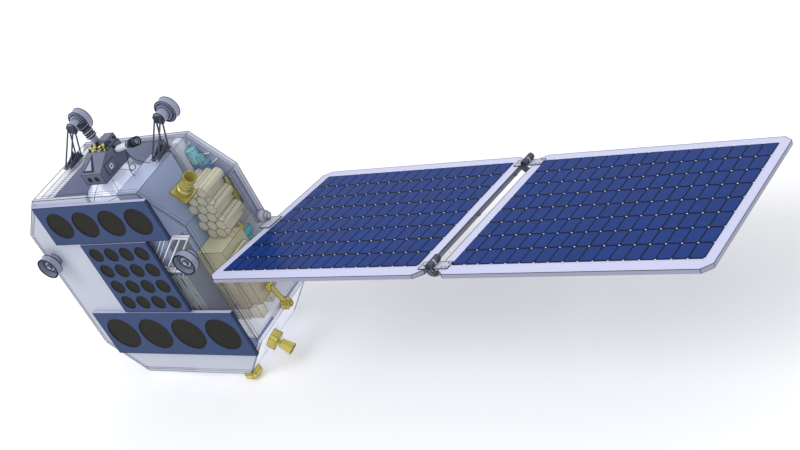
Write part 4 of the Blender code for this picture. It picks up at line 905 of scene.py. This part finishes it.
def add_tube_trim():
    """Rims and seams of the tubes, and the two tubes behind the central box."""
    low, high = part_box("tube_bundle")
    depth = Vector((0, high.y - low.y, 0))
    points = [v.co for v in frame["nodes"]["tube_bundle"].data.vertices if v.co.y < low.y + 0.001]
    paths = []
    for row in range(6):
        for column in range(3):
            centre = Vector((low.x + TUBE_RADIUS + (column + row % 2 / 2) * TUBE_PITCH, low.y - 0.0004,
                             high.z - TUBE_RADIUS - row * TUBE_ROW_PITCH))
            if sum((point - centre).length < TUBE_RADIUS * 1.1 for point in points) > 4:
                paths.append((circle_points(centre, (0, -1, 0), TUBE_RADIUS * 0.95, 24), True))
            if row == 0 or column == 2:
                # seam lines along the outer tubes
                for angle in ((60, 120) if row == 0 else (0, 45)):
                    turn = math.radians(angle)
                    edge = centre + Vector((math.cos(turn), 0.0, math.sin(turn))) * TUBE_RADIUS
                    paths.append(([edge, edge + depth], False))
    tubes = bmesh.new()
    for row in range(2):
        x = low.x + TUBE_RADIUS + (row % 2 / 2 - 1) * TUBE_PITCH
        z = high.z - TUBE_RADIUS - row * TUBE_ROW_PITCH
        add_rod(tubes, (x, BOX_HIGH.y + 0.002, z), (x, high.y, z), TUBE_RADIUS, 24)
    finish_piece("tube_row", tubes, "tan")
    seams("tube_rims", paths, 0.0006, "tube line", 5)


class AddHinges(bpy.types.Operator):
    """Adds the hinge springs, straps and holes and the tube along the inner panel's edge"""
    bl_idname = "satellite.add_hinges"
    bl_label = "Add hinge trim"

    def execute(self, context):
        turn = wing_place()
        back = turn.inverted()
        panel_low, panel_high = wing_box("inner_panel", back)
        axis_x = (panel_high.x + wing_box("outer_panel", back)[0].x) / 2
        coil, coil_step, coil_rise = 0.01, 0.8, 0.00055
        coils = []
        straps = []
        holes, caps = bmesh.new(), bmesh.new()
        for side in ("front", "back"):
            low, high = wing_box("hinge_" + side + "_inner_leaf", back)
            far_x = wing_box("hinge_" + side + "_outer_leaf", back)[1].x
            middle = (low.y + high.y) / 2
            axis_z = high.z - 0.007
            for near in (-0.028, 0.004):
                coils.append(([turn @ Vector((axis_x + coil * math.cos(t * coil_step), middle + near + coil_rise * t,
                                              axis_z + coil * math.sin(t * coil_step))) for t in range(44)], False))
            for shift in (-0.01, 0.0, 0.01):
                straps.append(([turn @ Vector((axis_x + 0.019 * math.cos(t), middle + shift,
                                               panel_low.z + 0.003 - 0.015 * math.sin(t)))
                                for t in (0.0, 0.5, 1.0, 1.57, 2.14, 2.64, 3.14)], False))
            hole_z = panel_high.z + 0.0016
            for x, y in ((low.x + 0.008, middle), (far_x - 0.008, middle - 0.01), (far_x - 0.008, middle + 0.01),
                         (far_x - 0.02, middle - 0.01)):
                add_rod(holes, (x, y, hole_z + 0.0001), (x, y, hole_z + 0.0009), 0.0026, 12, turn=turn)
            for y in (low.y - 0.0015, high.y + 0.0015):
                add_rod(caps, (axis_x, y - 0.0012, axis_z), (axis_x, y + 0.0012, axis_z), 0.0085, 16, turn=turn)
        seams("hinge_coils", coils, CORD_RADIUS, "spring metal", 6, "inner_wing")
        seams("hinge_straps", straps, 0.0032, "spring metal", 6, "inner_wing")
        finish_piece("hinge_holes", holes, "line", body="inner_wing")
        finish_piece("hinge_caps", caps, "dark metal", body="inner_wing")

        tube = bmesh.new()
        for reach, drop in ((0.0024, 0.0036), (0.0068, 0.008)):
            x, z = panel_high.x + reach, panel_high.z - drop
            add_rod(tube, (x, panel_low.y + 0.05, z), (x, panel_high.y - 0.05, z), 0.0018, 10, turn=turn)
        for y in (panel_low.y + 0.1, 0.5 * (panel_low.y + panel_high.y), panel_high.y - 0.1):
            add_block(tube, (panel_high.x + 0.0004, y - 0.006, panel_high.z - 0.0115),
                      (panel_high.x + 0.0072, y + 0.006, panel_high.z - 0.0045), turn)
        finish_piece("edge_tube", tube, "edge tube", body="inner_wing")
        return {"FINISHED"}


class AddHeadTrim(bpy.types.Operator):
    """Adds the head unit's pocket, ports, small fittings and guard wires, and the marks on masts and barrels"""
    bl_idname = "satellite.add_head_trim"
    bl_label = "Add head trim"

    def execute(self, context):
        add_pocket()
        add_head_fittings()
        add_guard_wires()
        add_bands()
        add_mast_holes()
        return {"FINISHED"}


def spot(across, back, up):
    """A point given as shares of the head unit's box."""
    low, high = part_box("head_box")
    return low + Vector((HEAD_WIDTH * across, (high.y - low.y) * back, HEAD_HEIGHT * up))


def slope(across, rise, out):
    """A point on the head unit's sloping front face."""
    foot, head = spot(across, 0.0, 0.528), spot(across, 0.48, 1.0)
    normal = Vector((0.0, foot.z - head.z, head.y - foot.y)).normalized()
    return foot.lerp(head, rise) + normal * out


def add_pocket():
    shift = slope(0.3, 0.3, -0.0006) - slope(0.3, 0.3, 0.0)
    for name, paint, corners, out in (
            ("head_pocket", "pocket", ((0.06, 0.1), (0.66, 0.1), (0.3, 0.94)), 0.0008),
            ("head_pocket_floor", "pocket floor", ((0.16, 0.18), (0.5, 0.18), (0.3, 0.72)), 0.0014)):
        bm = bmesh.new()
        add_plate(bm, [slope(a, b, out) for a, b in corners], shift)
        finish_piece(name, bm, paint)


def add_head_fittings():
    """Ports, pins and the side window."""
    bm = bmesh.new()
    for across in (0.3, 0.66):
        add_rod(bm, spot(across, 0.008, 0.26), spot(across, 0.1, 0.26), 0.0062, 14)
        square_ring(bm, spot(across, 0.0, 0.26), (0, -1, 0), 0.0072, 0.0088, -0.0004, 0.0008, 20)
    for across, back, height, radius in (
            # small dark fittings on the head unit's top
            (0.1, 0.55, 0.01, 0.004), (0.13, 0.66, 0.016, 0.003), (0.22, 0.76, 0.013, 0.005),
            (0.4, 0.73, 0.018, 0.0035), (0.47, 0.56, 0.012, 0.0026), (0.56, 0.6, 0.022, 0.0022),
            (0.93, 0.56, 0.014, 0.0034), (0.9, 0.64, 0.02, 0.0026), (0.3, 0.9, 0.012, 0.0044),
            (0.44, 0.86, 0.024, 0.0024), (0.36, 0.97, 0.01, 0.0034)):
        foot = spot(across, back, 1.0)
        add_rod(bm, foot, foot + Vector((0.15 * height, 0.0, height)), radius, 10, radius * 0.8)
    for back, up in ((0.74, 0.92), (0.9, 1.2), (0.7, 1.22)):
        add_rod(bm, spot(0.97, back, up), spot(0.97, back, up) + Vector((0.01, 0, 0)), 0.0042, 12)
    finish_piece("head_fittings", bm, "dark metal")

    block_piece("head_window", spot(1.0, 0.33, 0.29) - Vector((0.0055, 0, 0)),
                spot(1.0, 0.44, 0.51) + Vector((0.0026, 0, 0)), "white frame")
    bm = bmesh.new()
    knob = spot(1.0, 0.385, 0.4)
    add_rod(bm, knob, knob + Vector((0.0034, 0, 0)), 0.0034, 12)
    finish_piece("head_window_knob", bm, "line")


def add_guard_wires():
    wires = []
    for points in (
            # guard wires from the head unit to the top face
            ((0.06, 0.02, 0.052), (0.0907, 0.0159, 0.045), (0.1011, -0.0073, 0.02), (0.1177, -0.0324, 0.004),
             (0.14, -0.05, 0.003), (0.1626, -0.0641, 0.003)),
            ((0.062, 0.034, 0.045), (0.0996, 0.0095, 0.03), (0.1163, 0.0086, 0.01), (0.1489, 0.0042, 0.003),
             (0.1804, -0.004, 0.003))):
        wires.append(([Vector((x, y, BODY_HIGH_Z + z)) for x, y, z in points], False))
    wires.append((circle_points((0.1314, -0.0289, BODY_HIGH_Z + 0.012), (0.6, -0.6, 0.5), 0.0095, 24), True))
    seams("guard_wires", wires, CORD_RADIUS, "dark metal", 6)


def add_bands():
    """Dark bands round both barrels."""
    bm = bmesh.new()
    for reach, direction, base, bands in (
            # each band: start and end as shares of the barrel's length, and radius as a share of it
            (0.078, (-0.22, 0.0, 1.0), spot(0.03, 0.908, 1.0),
             ((0.47, 0.52, 0.184), (0.66, 0.74, 0.184), (0.82, 0.97, 0.203))),
            (0.104, (1.0, 0.0, 0.22), spot(1.0, 0.785, 0.722),
             ((0.55, 0.6, 0.105), (0.73, 0.78, 0.129), (0.89, 0.98, 0.134)))):
        unit = Vector(direction).normalized()
        for first, last, radius in bands:
            outer = radius * reach
            square_ring(bm, base + unit * 0.002, unit, outer - 0.0015, outer + 0.0005, first * reach,
                        last * reach, 24)
    finish_piece("barrel_bands", bm, "pocket")


def add_mast_holes():
    bm = bmesh.new()
    for side in ("mast_left", "mast_right"):
        mast_low, mast_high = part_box(side)
        for x in (mast_low.x + 0.0055, mast_high.x - 0.0055):
            foot = Vector((x, mast_low.y, mast_low.z + 0.0035))
            add_rod(bm, foot - Vector((0, 0.0006, 0)), foot + Vector((0, 0.001, 0)), 0.0022, 12)
    finish_piece("mast_holes", bm, "white frame")


class BuildStage(bpy.types.Operator):
    """Sets the floor, the lamps and the camera"""
    bl_idname = "satellite.build_stage"
    bl_label = "Build the stage"

    def execute(self, context):
        build_floor()
        build_light()
        build_camera()
        return {"FINISHED"}



def build_floor():
    bm = bmesh.new()
    bmesh.ops.create_grid(bm, x_segments=1, y_segments=1, size=60.0)
    mesh = as_mesh("floor", bm)
    mesh.transform(Matrix.Translation((0.0, 0.0, -0.0005)))
    floor = bpy.data.objects.new("floor", mesh)
    link(floor)
    paint, surface, point = start("pale floor", 0.9, shine=0.0)
    cloud = noise(point, 0.5, 1.0)
    join(blend(cloud, (0.98, 0.98, 0.983), (0.99, 0.99, 0.992)), surface, "Base Color")
    mesh.materials.append(paint)


def build_light():
    """A plain pale sky and three soft suns."""
    world = bpy.data.worlds.new("studio")
    bpy.context.scene.world = world
    world.use_nodes = True
    background = world.node_tree.nodes["Background"]
    background.inputs["Color"].default_value = (0.97, 0.98, 1.0, 1.0)
    path = world.node_tree.nodes.new("ShaderNodeLightPath")
    camera_ray, glossy_ray, clear_ray = (Shade(world.node_tree, path.outputs["Is " + kind + " Ray"])
                                         for kind in ("Camera", "Glossy", "Transmission"))
    seen = camera_ray.maths("MINIMUM", camera_ray + glossy_ray + clear_ray, 1.0)
    join(seen * 0.28 + 0.72, background, "Strength")

    for name, direction, strength, angle in (
            ("key", (0.35, 0.55, -0.85), 0.85, 35.0),
            ("fill", (-0.7, 0.5, -0.5), 0.3, 50.0),
            ("top", (-0.03, 0.02, -0.99), 0.47, 18.0)):
        lamp = bpy.data.lights.new(name, "SUN")
        lamp.use_shadow = name != "top"
        lamp.energy = strength
        lamp.angle = math.radians(angle)
        holder = bpy.data.objects.new(name, lamp)
        holder.rotation_euler = Vector(direction).to_track_quat("-Z", "Y").to_euler()
        link(holder)


def build_camera():
    """The camera fitted to the photograph, in its pixels."""
    image_width, image_centre, focal_length = 800, 373.06, 1373.12
    right = Vector((0.8053, 0.42905, -0.40915))
    down = Vector((-0.03873, -0.65057, -0.75846))
    forward = Vector((-0.5916, 0.62663, -0.50729))
    camera = bpy.data.cameras.new("camera")
    camera.sensor_width = 36.0
    camera.lens = focal_length / image_width * camera.sensor_width
    camera.shift_x = (image_width / 2 - image_centre) / image_width
    camera.clip_end = 200.0
    holder = bpy.data.objects.new("camera", camera)
    turn = Matrix((right, -down, -forward)).transposed().to_4x4()
    holder.matrix_world = Matrix.Translation((3.1384, -2.41058, 2.44096)) @ turn
    link(holder)
    bpy.context.scene.camera = holder
    bpy.context.scene.view_settings.view_transform = "Standard"


class SatellitePanel(bpy.types.Panel):
    """Lists the satellite's pieces"""
    bl_idname = "VIEW3D_PT_satellite"
    bl_label = "Satellite"
    bl_space_type = "VIEW_3D"
    bl_region_type = "UI"
    bl_category = "Satellite"

    def draw(self, context):
        layout = self.layout
        for group in (context.scene.satellite_sizes, context.scene.satellite_colours):
            for name in group.__annotations__:
                layout.prop(group, name)
        for operator in OPERATORS:
            layout.operator(operator.bl_idname)


OPERATORS = (DressPart, AddCells, AddSeams, AddInserts, AddArrayTrim, AddInside, AddHinges, AddHeadTrim, BuildStage)
CLASSES = (SatelliteSizes, SatelliteColours, *OPERATORS, SatellitePanel)


def register():
    for item in CLASSES:
        bpy.utils.register_class(item)
    bpy.types.Scene.satellite_sizes = bpy.props.PointerProperty(type=SatelliteSizes)
    bpy.types.Scene.satellite_colours = bpy.props.PointerProperty(type=SatelliteColours)


def unregister():
    del bpy.types.Scene.satellite_colours
    del bpy.types.Scene.satellite_sizes
    for item in reversed(CLASSES):
        bpy.utils.unregister_class(item)


def main():
    register()
    bpy.ops.satellite.dress_part()
    bpy.ops.satellite.add_cells()
    bpy.ops.satellite.add_seams()
    bpy.ops.satellite.add_inserts()
    bpy.ops.satellite.add_array_trim()
    bpy.ops.satellite.add_inside()
    bpy.ops.satellite.add_hinges()
    bpy.ops.satellite.add_head_trim()
    bpy.ops.satellite.build_stage()


if __name__ == "__main__":
    main()
